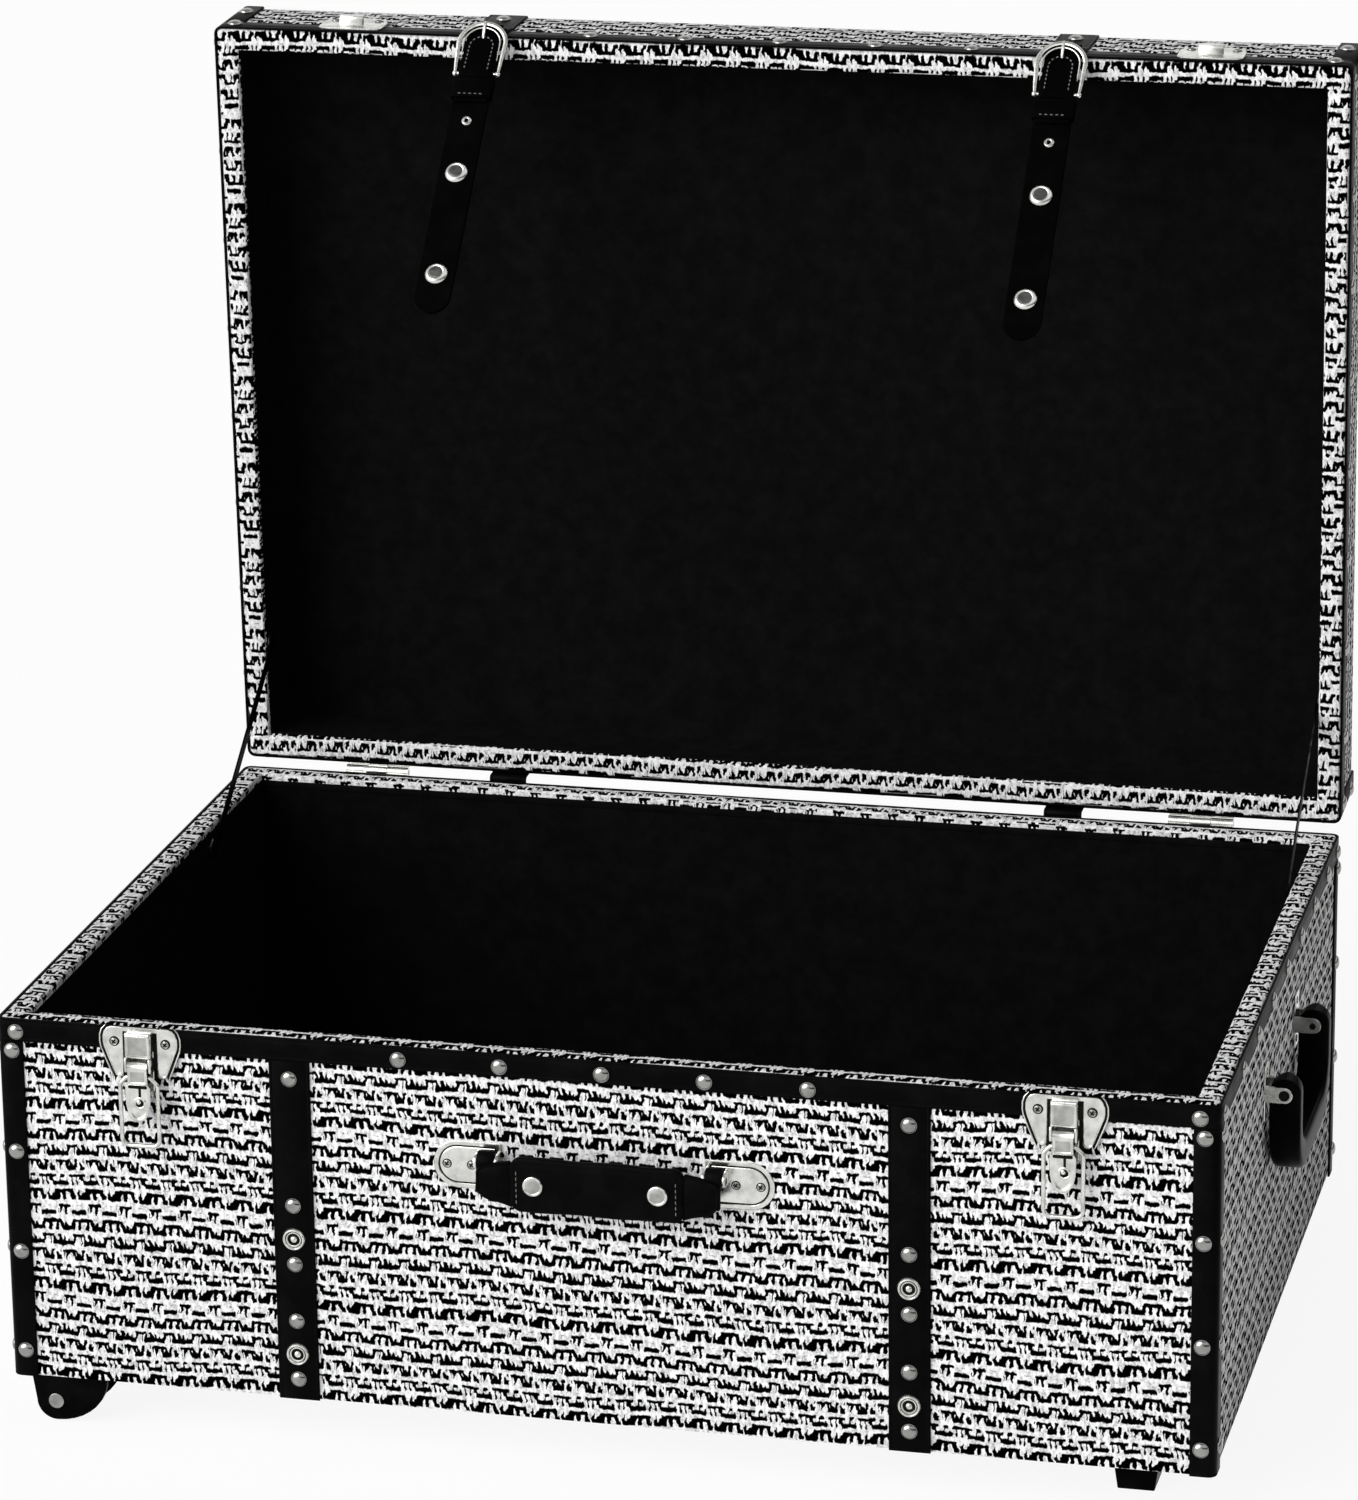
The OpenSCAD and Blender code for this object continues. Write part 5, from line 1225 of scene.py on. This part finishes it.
across = [[x, -4.15, loopLow + 2.2] for x in np.linspace(-9.5, 9.5, 10)]
tailStitches = joined([
    stitches(np.column_stack([seamX, seamY, seamZ]), np.tile([0.0, -1.0, -0.1], (33, 1)), 1.9, 1.5, 0.48),
    stitches(across, np.tile([0.0, -1.0, 0.0], (10, 1)), 2.0, 1.6, 0.36),
])
loopOutline = roundRect(-w - 0.1, -2.95, w + 0.1, 1.4, 0.8, 4)
keeperLoop = gluedRing(loopOutline, (loopLow + loopHigh) / 2, loopHigh - loopLow, tail["loopThick"])
# The frame's profile is a flat bar with a rounded face; its legs grow thin towards their ends
frameProfile = [
    (-1.0, -1.4), (-1.25, -0.9), (-1.4, 0), (-1.25, 0.9), (-1.0, 1.4), (0, 1.55), (1, 1.4), (1.2, 0.5),
    (1.2, -0.5), (1, -1.4), (0, -1.55),
]
leg = np.array([[footX, barZ], [footX + 0.5, barZ + 6], [15.7, -18]])
legSize = np.linspace(0.55, 0.95, len(leg))
bow = arc(0, tail["arcZ"], tail["arcRadius"], 0, 180, 33)
framePath = upright(np.concatenate([leg, bow, leg[::-1] * [-1, 1]]))
frameSize = np.concatenate([legSize, np.ones(33), legSize[::-1]])
innerArc = arc(0, tail["arcZ"], tail["innerRadius"], 0, 180, 25)
innerPath = upright(np.concatenate([[[12.3, -27]], innerArc, [[-12.3, -27]]]), -0.9)
ball = lathe([(2 * math.sin(t), 2 * math.cos(t)) for t in np.linspace(0, math.pi, 12)], 18)
prongTop = tail["arcZ"] + tail["arcRadius"] + 0.6
prongPath = [[0, 2.4, -12], [0, 1.0, -9.5], [0, -0.8, -6.5], [0, -2.2, -3], [0, -2.4, prongTop]]
buckle = joined([
    carried(framePath, frameProfile, [0, 1, 0], frameSize),
    carried(innerPath, circleProfile(0.6, 8), [0, 1, 0], [0.3] + [1] * 25 + [0.3]),
    rodX(-footX, footX, 0, barZ, 1.3), moved(ball, [-footX, 0, barZ]), moved(ball, [footX, 0, barZ]),
    carried(prongPath, circleProfile(1.1, 10), [1, 0, 0], [0.8, 1, 1, 1, 0.6]),
])
eyelet = lathe([(1.5, 0), (1.5, 0.5), (1.9, 0.8), (2.7, 0.8), (3.3, 0.4), (3.5, 0), (1.5, 0)])
cap = lathe([
    (0, 2.35), (2.5, 2.3), (4.2, 2.2), (4.8, 2.35), (5.4, 2.45), (6.2, 2.1), (7, 1.3), (7.5, 0.6), (7.5, 0),
    (0, 0),
], 32)
dish = lathe([(0, 2.42), (3, 2.38), (4.6, 2.3), (5.1, 2.2), (5.1, 1.9), (0, 1.9)], 28)
eyeletSpot, *capSpots = [[0, -tail["thick"] / 2, z] for z in (tail["eyeletZ"], *tail["capZ"])]
tailStuds = joined([facing("front", eyelet, eyeletSpot)] + scattered("front", cap, capSpots))
tailDishes = joined(scattered("front", dish, capSpots))
for word in ("left", "right"):
    for name, shape, finish, *nodes in (
        ("tailStrap", tailStraps, tailLeather, "strap_tail_" + word),
        ("tailLoop", keeperLoop, tailLeather, "tail_loop_" + word),
        ("tailBuckle", buckle, nickelPlate, "tail_buckle_" + word),
        ("tailStuds", tailStuds, nickelPlate, "tail_studs_" + word),
        ("tailDishes", tailDishes, dullNickel),
        ("tailStitches", tailStitches, thread),
    ):
        makePiece(name + word.capitalize(), shape, "tail_" + word, finish, *nodes, place=onTail(word))
print("strap tails made")


# Stage: floor, light and camera

stageLook = {
    "floor": "ffffff",
    "floorShown": 0.9,     # how much of the floor's own white the camera and polished metal see
    "floorReach": 30.0,
    "worldOnObject": 0.29,
    "darkWall": (-0.1, 0.25),       # the room's dark wall starts at these values of the direction's x
    "wallHeight": (0.22, 0.42),     # and ends between these values of its z
    "ceiling": (0.72, 0.93),        # the ceiling darkens between these values of z
    "ceilingDarkness": 0.6,
    "darkness": 0.94,
    "keyStrength": 3.1,
    "keyFrom": (-0.62, -0.62, 0.48),
    "keySize": 1.0,
}


# Whether a ray comes from the camera, or off something polished or clear: the largest of the three.
def seenRays(tree):
    rays = addNode(tree, "LightPath").node.outputs
    seen = sums(tree, "MAXIMUM", rays["Is Camera Ray"], rays["Is Glossy Ray"])
    return sums(tree, "MAXIMUM", seen, rays["Is Transmission Ray"])


world = bpy.data.worlds.new("whiteRoom")
bpy.context.scene.world = world
world.use_nodes = True
tree = world.node_tree
tree.nodes.clear()
lit = stageLook["worldOnObject"]
strength = sums(tree, "MULTIPLY_ADD", seenRays(tree), 1 - lit, lit)
# What polished metal sees of the room: a white box with a low dark wall at the right and a dark ceiling
toward = addNode(tree, "SeparateXYZ", addNode(tree, "TexCoord", out="Generated")).node.outputs
dark = spread(tree, toward[0], *stageLook["darkWall"], 0.0, stageLook["darkness"])
dark = sums(tree, "MULTIPLY", dark, spread(tree, toward[2], *stageLook["wallHeight"], 1.0, 0.0))
ceiling = spread(tree, toward[2], *stageLook["ceiling"], 0.0, stageLook["ceilingDarkness"])
dark = sums(tree, "MAXIMUM", dark, ceiling)
dark = sums(tree, "MULTIPLY", dark, addNode(tree, "LightPath", out="Is Glossy Ray"))
strength = sums(tree, "MULTIPLY", strength, sums(tree, "SUBTRACT", 1.0, dark))
addNode(tree, "OutputWorld", addNode(tree, "Background", (1, 1, 1, 1), strength))

sun = bpy.data.lights.new("keyLight", "SUN")
sun.energy = stageLook["keyStrength"]
sun.angle = stageLook["keySize"]
keyLight = newObject("keyLight", sun)
keyLight.rotation_euler = Vector(stageLook["keyFrom"]).to_track_quat("Z", "Y").to_euler()

floorMesh = bpy.data.meshes.new("floor")
reach = stageLook["floorReach"]
corners = [(-reach, -reach, 0), (reach, -reach, 0), (reach, reach, 0), (-reach, reach, 0)]
floorMesh.from_pydata(corners, [], [(0, 1, 2, 3)])
floor = newObject("floor", floorMesh)
floorPaint, tree = newTree("mattPaint")
white = linear(stageLook["floor"])
matt = addNode(tree, "BsdfPrincipled", Base_Color=white, Roughness=0.9, Specular_IOR_Level=0.1)
seen = sums(tree, "MULTIPLY", seenRays(tree), stageLook["floorShown"])
addNode(tree, "OutputMaterial", addNode(tree, "MixShader", seen, matt, addNode(tree, "Emission", white, 1.0)))
floorMesh.materials.append(floorPaint)

# The camera stands where the photograph's corners put it
viewPlace = {
    "eye": (0.88745, -3.6859, 1.59062),
    "right": (0.972245, 0.233621, -0.012641),
    "down": (0.059362, -0.298583, -0.952536),
    "ahead": (-0.226307, 0.925348, -0.304164),
    "lens": 148.77,
    "sensor": 36.0,
}
lens = bpy.data.cameras.new("photoView")
lens.lens = viewPlace["lens"]
lens.sensor_fit = "VERTICAL"
lens.sensor_height = lens.sensor_width = viewPlace["sensor"]
camera = newObject("photoView", lens)
right, down, ahead = (Vector(viewPlace[way]) for way in ("right", "down", "ahead"))
turned = Matrix((right, -down, -ahead)).transposed().to_4x4()
camera.matrix_world = Matrix.Translation(viewPlace["eye"]) @ turned
bpy.context.scene.camera = camera
bpy.context.scene.view_settings.view_transform = "Standard"
print("stage made")
